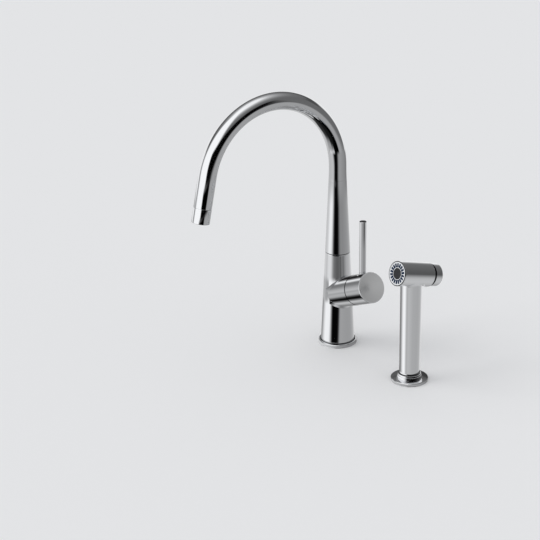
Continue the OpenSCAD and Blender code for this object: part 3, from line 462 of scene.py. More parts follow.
class Effects:
    """The surface effects that several finishes share."""

    made: dict[str, bpy.types.NodeTree] = {}

    @staticmethod
    def haze(nodes: Nodes, sockets: Sockets) -> Sockets:
        """Handling haze: the roughness wanders softly, with finer wipe marks in it."""
        where = nodes.add("TexCoord").outputs["Object"]
        broad = nodes.add("TexNoise", Vector=where, Scale=sockets["Scale"], Detail=3.0, Roughness=0.55)
        spots = nodes.sum("MULTIPLY", sockets["Scale"], 9.0)
        fine = nodes.add("TexNoise", Vector=where, Scale=spots, Detail=5.0, Roughness=0.7)
        both = nodes.sum("MULTIPLY_ADD", fine.outputs[0], 0.35, nodes.sum("MULTIPLY", broad.outputs[0], 0.65))
        shift = nodes.sum("MULTIPLY", nodes.sum("SUBTRACT", both, 0.5), sockets["Spread"])
        rough = nodes.sum("MAXIMUM", nodes.sum("ADD", sockets["Roughness"], shift), 0.01)
        return {"Roughness": rough, "Mask": both}

    @staticmethod
    def marks(nodes: Nodes, sockets: Sockets) -> Sockets:
        """Tool marks: fine rings or lines that vary along one direction of the given vector."""
        where, scale = sockets["Vector"], sockets["Scale"]
        noise = nodes.add("TexNoise", Vector=where, Scale=scale, Detail=2.0, Roughness=0.6)
        bump = nodes.add("Bump", Strength=sockets["Depth"], Distance=0.00004, Height=noise.outputs[0])
        return {"Normal": bump.outputs[0], "Mask": noise.outputs[0]}

    @staticmethod
    def grain(nodes: Nodes, sockets: Sockets) -> Sockets:
        """Moulded grain: small rounded pits of a spark-eroded mould, with a slow wave below them."""
        where = nodes.add("TexCoord").outputs["Object"]
        pits = nodes.add("TexVoronoi", Vector=where, Scale=sockets["Scale"], Randomness=1.0)
        broad = nodes.sum("MULTIPLY", sockets["Scale"], 0.05)
        slow = nodes.add("TexNoise", Vector=where, Scale=broad, Detail=2.0)
        height = nodes.sum("MULTIPLY_ADD", slow.outputs[0], 0.8, pits.outputs["Distance"])
        bump = nodes.add("Bump", Strength=sockets["Depth"], Distance=0.00006, Height=height)
        return {"Normal": bump.outputs[0], "Mask": slow.outputs[0]}

    @classmethod
    def build(cls) -> None:
        """Builds every shared group once."""
        level, relief = {"Roughness": "Float", "Mask": "Float"}, {"Normal": "Vector", "Mask": "Float"}
        haze = {"Roughness": 0.1, "Spread": 0.05, "Scale": 30.0}
        marks = {"Vector": None, "Scale": 400.0, "Depth": 0.2}
        grain = {"Scale": 2500.0, "Depth": 0.2}
        cls.made["haze"] = Nodes.group("handling_haze", haze, level, cls.haze)
        cls.made["marks"] = Nodes.group("tool_marks", marks, relief, cls.marks)
        cls.made["grain"] = Nodes.group("moulded_grain", grain, relief, cls.grain)

    @classmethod
    def place(cls, nodes: Nodes, name: str, **values: object) -> bpy.types.Node:
        """Places one of the groups in a material, with its own values."""
        return nodes.placed(cls.made[name], values)


@dataclass(frozen=True)
class Finish:
    """What every finish has.

    Args:
        name: the material's name.
        colour: base colour, or the colour that a metal reflects.
    """

    name: str
    colour: Colour

    def material(self) -> bpy.types.Material:
        """Builds the finish's material, or returns it if it is there."""
        if self.name in bpy.data.materials:
            return bpy.data.materials[self.name]
        made = bpy.data.materials.new(self.name)
        made.use_nodes = True
        self.wire(Nodes(made.node_tree), made.node_tree.nodes["Principled BSDF"].inputs)
        return made

    def wire(self, nodes: Nodes, shader: Sockets) -> None:
        """Joins the finish's nodes to the inputs of its shader."""
        raise NotImplementedError


@dataclass(frozen=True)
class MetalFinish(Finish):
    """A metal surface: polished, satin, brushed or turned.

    Args:
        roughness: mean roughness.
        spread: how far the roughness wanders.
        depth: depth of the tool marks, 0 for none.
        squeeze: how much finer the marks are along each local axis.
        place: turns the marks to a piece's own axis.
        tint: colour that the marks fade to.
        rings: winds the marks round the axis.
    """

    roughness: float
    spread: float = 0.04
    depth: float = 0.0
    squeeze: Point = (1.0, 1.0, 1.0)
    place: Matrix | None = None
    tint: Colour | None = None
    rings: bool = False

    def along(self, nodes: Nodes) -> Socket:
        """The coordinates that the tool marks follow, as rings or as lines."""
        where: Socket = nodes.add("TexCoord").outputs["Object"]
        if self.place is not None:
            back = (TO_METRES @ self.place @ Matrix.Scale(1000, 4)).inverted()
            shift, turn = back.to_translation(), back.to_euler()
            where = nodes.add("Mapping", Vector=where, Location=shift, Rotation=turn).outputs[0]
        if not self.rings:
            return nodes.add("Mapping", Vector=where, Scale=self.squeeze).outputs[0]
        x, y, _ = nodes.add("SeparateXYZ", Vector=where).outputs
        far = nodes.sum("SQRT", nodes.sum("MULTIPLY_ADD", x, x, nodes.sum("MULTIPLY", y, y)))
        return nodes.add("CombineXYZ", X=far).outputs[0]

    def wire(self, nodes: Nodes, shader: Sockets) -> None:
        """Joins the haze and, where there are any, the tool marks."""
        colour = (*self.colour, 1)
        shader["Metallic"].default_value = 1.0
        shader["Base Color"].default_value = colour
        haze = Effects.place(nodes, "haze", Roughness=self.roughness, Spread=self.spread, Scale=35.0)
        nodes.put(shader["Roughness"], haze.outputs["Roughness"])
        if self.depth:
            marks = Effects.place(nodes, "marks", Vector=self.along(nodes), Scale=900.0, Depth=self.depth)
            nodes.put(shader["Normal"], marks.outputs["Normal"])
            if self.tint is not None:
                nodes.put(shader["Base Color"], nodes.mix(marks.outputs["Mask"], colour, (*self.tint, 1)))


@dataclass(frozen=True)
class MouldedFinish(Finish):
    """Plastic, rubber or ceramic: a moulded or pressed surface.

    Args:
        shade: colour in the slow patches.
        roughness: mean roughness.
        depth: depth of the mould's grain.
        scale: fineness of the grain.
        coat: weight of a clear gloss.
        gloss: strength of the surface's own highlights.
    """

    shade: Colour
    roughness: float
    depth: float = 0.25
    scale: float = 2500.0
    coat: float = 0.0
    gloss: float = 0.4

    def wire(self, nodes: Nodes, shader: Sockets) -> None:
        """Joins the grain, the haze and the slow patches."""
        shader["Coat Weight"].default_value = self.coat
        shader["Specular IOR Level"].default_value = self.gloss
        grain = Effects.place(nodes, "grain", Scale=self.scale, Depth=self.depth)
        haze = Effects.place(nodes, "haze", Roughness=self.roughness, Spread=0.12, Scale=60.0)
        nodes.put(shader["Base Color"], nodes.mix(grain.outputs["Mask"], (*self.colour, 1), (*self.shade, 1)))
        nodes.put(shader["Roughness"], haze.outputs["Roughness"])
        nodes.put(shader["Normal"], grain.outputs["Normal"])


CHROME = MetalFinish("polished_chrome", (0.80, 0.81, 0.83), 0.075, 0.03)
SATIN = MetalFinish("satin_end_face", (0.58, 0.585, 0.59), 0.38, 0.05, 0.25, place=CARTRIDGE, rings=True)
# Painted shade: near-black plating for the seam under the cap, the ring's groove, the body's foot, the cap's
# hollow, the rod's top and the barrel's front rim.
PAINTED_SHADE = MetalFinish("painted_shade_plating", (0.045, 0.045, 0.048), 0.5, 0.08, 0.2)
STEEL = MetalFinish(
    "brushed_steel", (0.62, 0.63, 0.65), 0.28, 0.08, 0.35, squeeze=(1.0, 1.0, 0.04), tint=(0.50, 0.51, 0.53)
)
BRASS = MetalFinish(
    "turned_brass", (0.80, 0.62, 0.33), 0.24, 0.10, 0.45, squeeze=(0.02, 0.02, 1.0), tint=(0.62, 0.46, 0.22)
)
RUBBER = MouldedFinish("black_rubber", (0.018, 0.018, 0.020), (0.035, 0.035, 0.037), 0.72, 0.35, 1800.0)
WHITE = MouldedFinish("white_acetal", (0.80, 0.80, 0.77), (0.70, 0.70, 0.67), 0.42, 0.12)
FACE = MouldedFinish("white_faceplate", (0.97, 0.98, 0.98), (0.93, 0.94, 0.95), 0.26, 0.05, 1500.0, 0.2)
DARK = MouldedFinish("dark_acetal", (0.022, 0.023, 0.025), (0.035, 0.036, 0.038), 0.42, 0.25, gloss=0.25)
# Near-black, for the button's neck where it shows in the groove behind the barrel.
BLACK = MouldedFinish("near_black_neck", (0.004, 0.004, 0.005), (0.008, 0.008, 0.009), 0.6, 0.2, gloss=0.05)
BLUE = MouldedFinish("blue_silicone", (0.001, 0.015, 0.050), (0.002, 0.022, 0.066), 0.50, 0.15, gloss=0.1)
CERAMIC = MouldedFinish("lapped_ceramic", (0.88, 0.87, 0.84), (0.82, 0.81, 0.78), 0.18, 0.06, 4000.0, 0.4)

SLOT_FINISH = {
    Slot.CHROME: CHROME,
    Slot.STEEL: STEEL,
    Slot.BRASS: BRASS,
    Slot.RUBBER: RUBBER,
    Slot.WHITE_PLASTIC: WHITE,
    Slot.FACE_PLASTIC: FACE,
    Slot.DARK_PLASTIC: DARK,
    Slot.BLUE_PLASTIC: BLUE,
    Slot.CERAMIC: CERAMIC,
}


def dress(piece: Piece, finish: Finish) -> None:
    """Gives a piece one finish all over."""
    piece.data.materials.clear()
    piece.data.materials.append(finish.material())


def shade_or_refinish(piece: Piece, chosen: Callable[[bpy.types.MeshPolygon], bool], finish: Finish = PAINTED_SHADE) -> None:
    """Gives chosen faces of a chrome piece a second finish, near-black painted shade if none is named.

    Args:
        piece: the piece, which gets chrome first if it has no finish yet.
        chosen: says whether a face gets the second finish.
        finish: the second finish.
    """
    slots = piece.data.materials
    if not slots:
        slots.append(CHROME.material())
    slots.append(finish.material())
    for side in piece.data.polygons:
        if chosen(side):
            side.material_index = len(slots) - 1


def hand_over(
    piece: Piece,
    place: Matrix,
    body: Body,
    slot: Slot,
    finish: Finish | None = None,
    stands_for: Sequence[str] = (),
    sharp: float = 28,
) -> Piece:
    """Puts a finished piece in its place in the frame, and makes it ride on its body.

    Args:
        piece: the piece in millimetres, in its local frame.
        place: the local frame in the row frame, in millimetres.
        body: the body that it moves with.
        slot: the record's slot that its finish comes from.
        finish: the finish, or None for the slot's own.
        stands_for: the CAD nodes that it replaces.
        sharp: the angle above which an edge stays sharp.

    Returns:
        The placed piece.
    """
    Bench.moved(piece, TO_METRES @ place)
    Bench.smooth(piece, sharp)
    if finish is not None or not piece.data.materials:
        dress(piece, finish or SLOT_FINISH[slot])
    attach(piece, body.value)
    if stands_for:
        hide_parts(*stands_for)
    LOG.info("%s: %d faces on %s", piece.name, len(piece.data.polygons), body.value)
    return piece


@dataclass
class TapBody:
    """The conical body with its cartridge housing, and the ring that it stands on."""

    foot_r: float = 24.1
    tube_r: float = 12.0
    cone_h: float = 250.0
    seam_h: float = 136.0
    body_z: float = 4.0
    ring_r: float = 27.3
    ring_h: float = 5.0
    ring_bore_r: float = 16.9
    spigot_r: float = 11.9
    spigot_top: float = 176.0
    grooves: Sequence[Corner] = ((146.35, 147.65, 0.75), (151.8, 154.2, 1.7), (159.8, 162.2, 1.7))
    well_r: float = 8.55
    well_z: float = 120.0
    passage_r: float = 4.0
    passage_z: float = 67.5
    seat_r: float = 19.9
    seat_h: float = 1.4
    socket_r: float = 16.45
    socket_top: float = 30.0
    port_r: float = 5.0
    port_x: float = 8.5
    port_depth: float = 12.0
    root_r: float = 20.4
    mouth_r: float = 21.3
    mouth_s: float = 49.0
    cartridge_r: float = 17.55
    floor_s: float = 14.0
    nut_r: float = 18.95
    nut_s: float = 41.0

    def cone_r(self, z: float) -> float:
        """Radius of the cone at a height."""
        return self.tube_r + (self.foot_r - self.tube_r) * (self.cone_h - z) / self.cone_h

    @property
    def lip_r(self) -> float:
        """Radius of the ring's groove round the body's foot."""
        return self.cone_r(self.body_z) + 0.7

    def casting(self) -> Piece:
        """The cone with its grooved spigot, joined to the bored housing."""
        outline: list[Corner] = [
            (0, self.socket_top), (self.socket_r, self.socket_top), (self.socket_r, self.body_z),
            (self.cone_r(self.body_z), self.body_z, 0.5), (self.cone_r(self.seam_h), self.seam_h, 0.35),
            (self.spigot_r, self.seam_h),
        ]
        for low, high, depth in self.grooves:
            floor = self.spigot_r - depth
            outline += [(self.spigot_r, low), (floor, low), (floor, high), (self.spigot_r, high)]
        outline += [
            (self.spigot_r, self.spigot_top, 0.8), (self.well_r, self.spigot_top), (self.well_r, self.well_z),
            (self.passage_r, self.well_z), (self.passage_r, self.passage_z), (0, self.passage_z),
        ]
        cone = Bench.turned("tap_body", outline, False)
        boss = [
            (0, 0), (self.root_r, 0), (self.mouth_r, self.mouth_s, 0.7), (self.nut_r, self.mouth_s),
            (self.nut_r, self.mouth_s - 2), (0, self.mouth_s - 2),
        ]
        Bench.combine(cone, Bench.moved(Bench.turned("housing", boss, False), CARTRIDGE), Join.FUSE)
        chamber = [
            (0, self.floor_s), (self.cartridge_r, self.floor_s), (self.cartridge_r, self.nut_s),
            (self.nut_r, self.nut_s), (self.nut_r, self.mouth_s + 1), (0, self.mouth_s + 1),
        ]
        Bench.cut(cone, Bench.turned("bore", chamber, False), CARTRIDGE)
        for angle in (60, -60, 180):
            port = Bench.rod("port", self.port_r, self.socket_top - 1, self.socket_top + self.port_depth, 32)
            around = Matrix.Rotation(math.radians(angle), 4, "Z")
            Bench.cut(cone, port, around @ Matrix.Translation((self.port_x, 0, 0)))
        return Bench.welded(cone)

    def ring(self) -> Piece:
        """The base ring, with the groove round the body's foot."""
        return Bench.turned(
            "base_ring_turned",
            [
                (self.seat_r, 0), (self.ring_r, 0, 0.25), (self.ring_r, self.ring_h, 0.9),
                (self.lip_r, self.ring_h, 0.2), (self.lip_r, self.body_z), (self.ring_bore_r, self.body_z),
                (self.ring_bore_r, self.seat_h), (self.seat_r, self.seat_h),
            ],
        )

    def build(self) -> None:
        """Builds the body and its ring."""
        casting = self.casting()
        inward = CARTRIDGE.inverted()
        # Painted shade: the housing's mouth, in the seam under the cap, is near-black.
        shade_or_refinish(casting, lambda side: (inward @ side.center).z > self.mouth_s - 0.75)
        # Painted shade: the body's foot, where it sits in the ring's groove, is near-black.
        shade_or_refinish(casting, lambda side: side.center.z < self.body_z + 0.45)
        hand_over(casting, UPRIGHT, Body.TAP, Slot.CHROME, stands_for=["body"])
        ring = self.ring()
        # Painted shade: the ring's groove round the body's foot is near-black.
        shade_or_refinish(ring, lambda side: Vector(side.center[:2]).length < self.lip_r + 0.02)
        hand_over(ring, UPRIGHT, Body.TAP, Slot.CHROME, stands_for=["base_ring"])


@dataclass
class Gooseneck:
    """The swivelling spout: conical sleeve, column, bend and straight end, with the aerator."""

    body: TapBody
    sleeve_z: float = 136.85
    sleeve_bore_r: float = 12.3
    sleeve_edge: float = 0.35
    sleeve_top: float = 177.0
    clip_z: float = 145.7
    clip_h: float = 2.6
    clip_depth: float = 1.0
    draft: float = 0.001
    blend_top: float = 258.0
    blend_reach: float = 8.0
    bore_r: float = 10.0
    wall_r: float = 12.0
    drop: float = 41.0
    thread: float = 10.0
    thread_r: float = 10.6
    nozzle: float = 20.0
    nose_bore_r: float = 8.6
    nose_shank: float = 9.0
    mouth: float = 11.0
    lip: float = 0.3
    sides: int = 128
    bend_steps: int = 84
    blend_steps: int = 10
    sleeve_reach: float = 18.0
    tip_reach: float = 13.0

    def run(self, rings: Outline, tail: Outline) -> None:
        """Extrudes a circle of edges up the column, round the bend and down the straight end.

        Args:
            rings: (height, radius) of each ring up to the bend. The first is there already.
            tail: (distance past the bend, radius) of each ring after it.
        """
        for (z0, r0), (z1, r1) in zip(rings, rings[1:]):
            bpy.ops.mesh.extrude_edges_move(TRANSFORM_OT_translate={"value": (0, 0, z1 - z0)})
            if r1 != r0:
                bpy.ops.transform.resize(value=(r1 / r0, r1 / r0, 1), center_override=(0, 0, z1))
        bpy.ops.mesh.spin(steps=self.bend_steps, angle=BEND, center=(0, -BEND_R, BEND_Z), axis=(-1, 0, 0))
        way = DROP.to_3x3() @ Vector((0, 0, 1))
        at, radius = 0.0, rings[-1][1]
        for far, r in tail:
            bpy.ops.mesh.extrude_edges_move(TRANSFORM_OT_translate={"value": way * (far - at)})
            if r != radius:
                k = r / radius
                bpy.ops.transform.resize(value=(k, k, k), center_override=DROP @ Vector((0, 0, far)))
            at, radius = far, r

    def shell(self, name: str, first: Corner, rings: Outline, tail: Outline) -> Piece:
        """One wall of the spout, started from a circle of edges."""
        Bench.clear()
        bpy.ops.mesh.primitive_circle_add(vertices=self.sides, radius=first[1], location=(0, 0, 0))
        wall = bpy.context.object
        wall.name = name
        bpy.ops.object.mode_set(mode="EDIT")
        bpy.ops.mesh.select_all(action="SELECT")
        bpy.ops.transform.translate(value=(0, 0, first[0]))
        self.run([first, *rings], tail)
        bpy.ops.object.mode_set(mode="OBJECT")
        return wall

    def tube(self) -> Piece:
        """The spout's outer and inner walls, bridged at both ends."""
        low, brim, cone, wall = self.sleeve_z, self.sleeve_edge, self.body.cone_r, self.wall_r
        taper = math.atan((self.body.foot_r - wall) / self.body.cone_h)
        bend = self.blend_reach / math.tan(taper / 2)
        outer = [(low + 0.1, cone(low) - 0.1), (low + brim, cone(low + brim))]
        for i in range(self.blend_steps + 1):
            turn = taper * (1 - i / self.blend_steps)
            outer.append((self.blend_top - bend * math.sin(turn), wall + bend * (1 - math.cos(turn))))
        outer.append((BEND_Z, wall))
        lip, tip = self.lip, self.drop
        mouth = [(tip - lip, wall), (tip - 0.08, wall - 0.08), (tip, wall - lip)]
        skin = self.shell("spout_tube", (low, cone(low) - brim), outer, mouth)
        bore, clip = self.sleeve_bore_r, self.sleeve_bore_r + self.clip_depth
        start, stop = self.clip_z, self.clip_z + self.clip_h
        inner = [
            (start, bore), (start + 0.4, clip - self.draft), (stop - 0.4, clip), (stop, bore),
            (self.sleeve_top, bore + self.draft), (self.sleeve_top + 2, self.bore_r),
            (BEND_Z, self.bore_r + self.draft),
        ]
        root = tip - self.thread
        end = [(root, self.bore_r), (root + 0.3, self.thread_r), (tip, self.thread_r + self.draft)]
        Bench.joined(skin, self.shell("lining", (low, bore + self.draft), inner, end))
        bpy.ops.object.mode_set(mode="EDIT")
        bpy.ops.mesh.select_mode(type="EDGE")
        for middle, reach in (
            (Vector((0, 0, low)), self.sleeve_reach), (DROP @ Vector((0, 0, tip)), self.tip_reach)
        ):
            bpy.ops.mesh.select_all(action="DESELECT")
            bpy.ops.mesh.select_non_manifold(
                extend=False, use_wire=False, use_multi_face=False, use_non_contiguous=False, use_verts=False
            )
            bpy.ops.object.mode_set(mode="OBJECT")
            for edge in skin.data.edges:
                far = (skin.data.vertices[edge.vertices[0]].co - middle).length
                edge.select = edge.select and far < reach
            bpy.ops.object.mode_set(mode="EDIT")
            bpy.ops.mesh.bridge_edge_loops()
        bpy.ops.mesh.select_all(action="SELECT")
        bpy.ops.mesh.normals_make_consistent(inside=False)
        bpy.ops.object.mode_set(mode="OBJECT")
        return skin

    def nose(self) -> Piece:
        """The screwed aerator housing at the spout's end."""
        low, end, thread = self.drop, self.drop + self.nozzle, self.thread_r - 0.05
        return Bench.turned(
            "aerator_nose",
            [
                (self.nose_bore_r, low - self.nose_shank), (thread, low - self.nose_shank), (thread, low),
                (self.wall_r, low, 0.3), (self.wall_r, end, 0.7), (self.thread_r, end, 0.3),
                (self.thread_r, end - self.mouth), (self.nose_bore_r, end - self.mouth),
            ],
        )

    def build(self) -> None:
        """Builds the spout and its aerator housing."""
        hand_over(self.tube(), UPRIGHT, Body.SPOUT, Slot.CHROME, stands_for=["spout"], sharp=35)
        hand_over(self.nose(), DROP, Body.SPOUT, Slot.CHROME, stands_for=["aerator_housing"])


@dataclass
class Lever:
    """The turned cap over the cartridge, and the rod that stands in it."""

    cap_r: float = 21.3
    cap_s: float = 49.8
    cap_end: float = 84.0
    cap_edge: float = 1.0
    pivot_s: float = 36.0
    hollow_r: float = 24.85
    dome_steps: int = 24
    stem_w: float = 8.1
    stem_top: float = 68.05
    grub_s: float = 64.5
    grub_r: float = 2.5
    rod_x: float = 57.0
    rod_r: float = 5.0
    rod_top: float = 195.5
    rod_stand: float = 3.0
    rod_sides: int = 96

    @property
    def rod_z(self) -> float:
        """Height of the rod's foot inside the cap."""
        return BOSS_H + (self.rod_x + self.rod_r) * math.tan(TILT) + 4 / math.cos(TILT) + self.rod_stand

    def cap(self) -> Piece:
        """The cap, hollowed by a sphere about the tilting pin, with its bores."""
        top = math.pi / 2
        sweep = top - math.asin((self.cap_s - self.pivot_s) / self.hollow_r)
        dome = []
        for i in range(self.dome_steps + 1):
            a = top - sweep * i / self.dome_steps
            dome.append((self.hollow_r * math.cos(a), self.pivot_s + self.hollow_r * math.sin(a)))
        rim = [(self.cap_r, self.cap_s, 0.25), (self.cap_r, self.cap_end, self.cap_edge), (0, self.cap_end)]
        cap = Bench.turned("lever_cap_turned", dome + Bench.rounded([dome[-1], *rim])[1:], False)
        half = self.stem_w / 2
        Bench.cut(cap, Bench.block("socket", (-half, -half, self.pivot_s + 5), (half, half, self.stem_top)))
        grub = Bench.rod("grub", self.grub_r, 2, 30, 48)
        Bench.cut(cap, grub, Matrix.Translation((0, 0, self.grub_s)) @ Matrix.Rotation(math.pi / 2, 4, "Y"))
        hole = Bench.rod("hole", self.rod_r + 0.02, self.rod_z, self.rod_top, self.rod_sides)
        return Bench.cut(cap, hole, CARTRIDGE.inverted() @ Matrix.Translation((self.rod_x, 0, 0)))

    def rod(self) -> Piece:
        """The lever rod with its broken top edge."""
        low, top, wide = self.rod_z, self.rod_top, self.rod_r
        outline = [(0, low), (wide, low), (wide, top, 0.5), (0, top)]
        return Bench.turned("lever_rod_turned", outline, False, self.rod_sides)

    def build(self) -> None:
        """Builds the cap, with its satin end face and its hollow in painted shade, and the rod, with painted
        shade on its top.
        """
        cap = self.cap()
        hollow = self.cap_r - 0.04
        roof = self.cap_end - 2
        shade_or_refinish(cap, lambda side: side.normal.z > 0.99 and side.center.z > self.cap_end - 0.1, SATIN)
        # Painted shade: the cap's hollow, seen through the seam, is near-black.
        shade_or_refinish(cap, lambda side: side.center.z < roof and Vector(side.center[:2]).length < hollow)
        hand_over(cap, CARTRIDGE, Body.LEVER, Slot.CHROME, stands_for=["lever_cap"])
        rod = self.rod()
        # Painted shade: the rod's flat top face is near-black.
        shade_or_refinish(rod, lambda side: side.center.z > self.rod_top - 0.05)
        place = Matrix.Translation((self.rod_x, 0, 0))
        hand_over(rod, place, Body.LEVER, Slot.CHROME, stands_for=["lever_rod"])


@dataclass
class SprayHolder:
    """The flange and collar in the worktop that the hand spray stands in, with the soft cradle."""

    flange_r: float = 25.0
    flange_h: float = 4.6
    seat_r: float = 18.8
    seat_h: float = 1.4
    shank_r: float = 15.55
    shank_top: float = 3.0
    bore_r: float = 13.95
    collar_r: float = 16.4
    step_h: float = 3.6
    step_w: float = 0.8
    top: float = 10.6
    cradle_r: float = 13.9
    cradle_bore_r: float = 11.3
    cradle_mouth_r: float = 12.3
    cradle_low: float = -12.0
    lip_r: float = 14.6
    lip_h: float = 0.8

    def flange(self) -> Piece:
        """The flange with its two-step collar."""
        step, inner = self.flange_h + self.step_h, self.collar_r - self.step_w
        return Bench.turned(
            "holder_flange",
            [
                (self.bore_r, self.shank_top), (self.shank_r, self.shank_top), (self.shank_r, self.seat_h),
                (self.seat_r, self.seat_h), (self.seat_r, 0), (self.flange_r, 0, 0.3),
                (self.flange_r, self.flange_h, 0.9), (self.collar_r, self.flange_h, 0.15),
                (self.collar_r, step, 0.35), (inner, step, 0.2), (inner, self.top, 0.4),
                (self.bore_r, self.top),
            ],
        )

    def cradle(self) -> Piece:
        """The soft cradle, with a thin lip on the collar."""
        lip = self.top + self.lip_h
        return Bench.turned(
            "cradle_moulded",
            [
                (self.cradle_bore_r, self.cradle_low), (self.cradle_r, self.cradle_low),
                (self.cradle_r, self.top), (self.lip_r, self.top), (self.lip_r, lip, 0.3),
                (self.cradle_mouth_r, lip, 0.3),
            ],
        )

    def build(self) -> None:
        """Builds the flange and the cradle."""
        hand_over(self.flange(), HOLDER, Body.TAP, Slot.CHROME, stands_for=["spray_holder"])
        hand_over(self.cradle(), HOLDER, Body.TAP, Slot.DARK_PLASTIC, stands_for=["spray_cradle"])


@dataclass
class HandSpray:
    """The hand spray's shell: a slim handle with a barrel across its top, and the push button."""

    foot_r: float = 13.9
    top_r: float = 14.2
    grip_z: float = 11.5
    barrel_h: float = BARREL_Z
    barrel_r: float = 16.4
    front: float = 26.0
    rear: float = 27.0
    bore_r: float = 14.1
    well_r: float = 11.0
    face_r: float = 15.35
    pocket: float = 8.0
    groove: float = 4.0
    button_len: float = 11.0
    button_r: float = 15.2
    stem_r: float = 14.05
    ring_r: float = 12.4
    hollow_r: float = 8.0

    def shell(self) -> Piece:
        """Handle and barrel joined, and bored from three sides."""
        low, top = self.grip_z, self.barrel_h
        handle = [(0, low), (self.foot_r, low, 0.4), (self.top_r, top), (0, top)]
        grip = Bench.moved(Bench.turned("spray_shell", handle, False), HOLDER)
        back, front = -self.rear, self.front
        across = [(0, back), (self.barrel_r, back, 0.6), (self.barrel_r, front, 0.6), (0, front)]
        Bench.combine(grip, Bench.moved(Bench.turned("barrel", across, False), BARREL), Join.FUSE)
        well = Bench.moved(Bench.rod("well", self.well_r, low - 1, top - 8), HOLDER)
        floor = front - self.pocket
        inside = [
            (0, back - 1), (self.bore_r, back - 1), (self.bore_r, floor), (self.face_r, floor),
            (self.face_r, front + 1), (0, front + 1),
        ]
        bore = Bench.combine(Bench.moved(Bench.turned("bore", inside, False), BARREL), well, Join.FUSE)
        return Bench.combine(grip, bore, Join.CUT)

    def button(self) -> Piece:
        """The push button, with the stem that runs in the barrel and the groove of its ring."""
        front = -self.rear - self.groove
        end, low, high, tip = front - self.button_len, front + 7.1, front + 8.9, front + 11
        outline = [
            (0, end), (self.button_r, end, 1.6), (self.button_r, front, 0.4), (self.stem_r, front),
            (self.stem_r, low), (self.ring_r, low), (self.ring_r, high), (self.stem_r, high),
            (self.stem_r, tip), (self.hollow_r, tip), (self.hollow_r, front + 5), (0, front + 5),
        ]
        return Bench.turned("push_button", outline, False, arc=8)

    def build(self) -> None:
        """Builds the shell and the button."""
        shell = self.shell()
        inward = BARREL.inverted()
        # Painted shade: the barrel's front rim round the spray face is near-black.
        shade_or_refinish(shell, lambda side: (inward @ side.center).z > self.front - 0.35)
        hand_over(shell, UPRIGHT, Body.HAND_SPRAY, Slot.CHROME, stands_for=["spray_body"])
        button = self.button()
        # The button's neck, which shows in the groove behind the barrel, is near-black.
        shade_or_refinish(button, lambda side: side.center.z > 0.05 - self.rear - self.groove, BLACK)
        hand_over(button, BARREL, Body.BUTTON, Slot.CHROME, stands_for=["spray_button"])


@dataclass
class SprayFace:
    """The white plate in the barrel's mouth, the nozzle ribs that stand in its slots, and the dark hub."""

    plate_r: float = 15.3
    plate_front: float = 25.6
    plate_back: float = 22.4
    hub_r: float = 7.3
    hub_front: float = 26.2
    base_back: float = 19.2
    base_in: float = 7.5
    slot_in: float = 8.3
    slot_out: float = 13.6
    slot_w: float = 2.8
    rib_out: float = 0.35
    slots: int = 18

    def ribs(self, name: str, spare: float, low: float, high: float) -> Piece:
        """Blocks in a ring, each shorter and narrower than a slot by twice the spare width."""
        half = self.slot_w / 2 - spare
        first = Bench.block(name, (self.slot_in + spare, -half, low), (self.slot_out - spare, half, high))
        copies = []
        for k in range(1, self.slots):
            copy = first.copy()
            copy.data = first.data.copy()
            bpy.context.scene.collection.objects.link(copy)
            copies.append(Bench.moved(copy, Matrix.Rotation(2 * math.pi * k / self.slots, 4, "Z")))
        return Bench.joined(first, *copies)

    def plate(self) -> Piece:
        """The slotted plate."""
        bore, low, high = self.hub_r + 0.05, self.plate_back, self.plate_front
        plate = Bench.turned(
            "face_plate", [(bore, low), (self.plate_r, low), (self.plate_r, high, 0.25), (bore, high, 0.15)]
        )
        return Bench.cut(plate, self.ribs("slots", 0.0, low - 1, high + 1))

    def nozzles(self) -> Piece:
        """The soft ring behind the plate, with its rounded ribs."""
        inner, rim, low, high = self.base_in, self.plate_r - 0.05, self.base_back, self.plate_back - 0.02
        ring = Bench.turned("nozzle_ribs", [(inner, low), (rim, low), (rim, high), (inner, high)])
        ribs = self.ribs("ribs", 0.04, self.plate_back - 0.1, self.plate_front + self.rib_out)
        return Bench.joined(ring, Bench.broken(ribs, 0.3, 3))

    def hub(self) -> Piece:
        """The dark hub with its rounded edge and shallow dish."""
        wide, neck, front, dish = self.hub_r, self.hub_r - 1, self.hub_front, self.hub_front - 0.25
        outline = [
            (0, self.base_back), (neck, self.base_back), (neck, self.plate_back), (wide, self.plate_back),
            (wide, front, 0.5), (wide - 1.4, front, 0.2), (wide - 1.9, dish, 0.2), (0, dish),
        ]
        return Bench.turned("face_hub", outline, False)

    def build(self) -> None:
        """Builds the plate, the ribs and the hub."""
        hand_over(self.plate(), BARREL, Body.HAND_SPRAY, Slot.FACE_PLASTIC, stands_for=["spray_faceplate"])
        hand_over(self.nozzles(), BARREL, Body.HAND_SPRAY, Slot.BLUE_PLASTIC, stands_for=["nozzle_ring"])
        hand_over(self.hub(), BARREL, Body.HAND_SPRAY, Slot.DARK_PLASTIC, stands_for=["face_centre"])


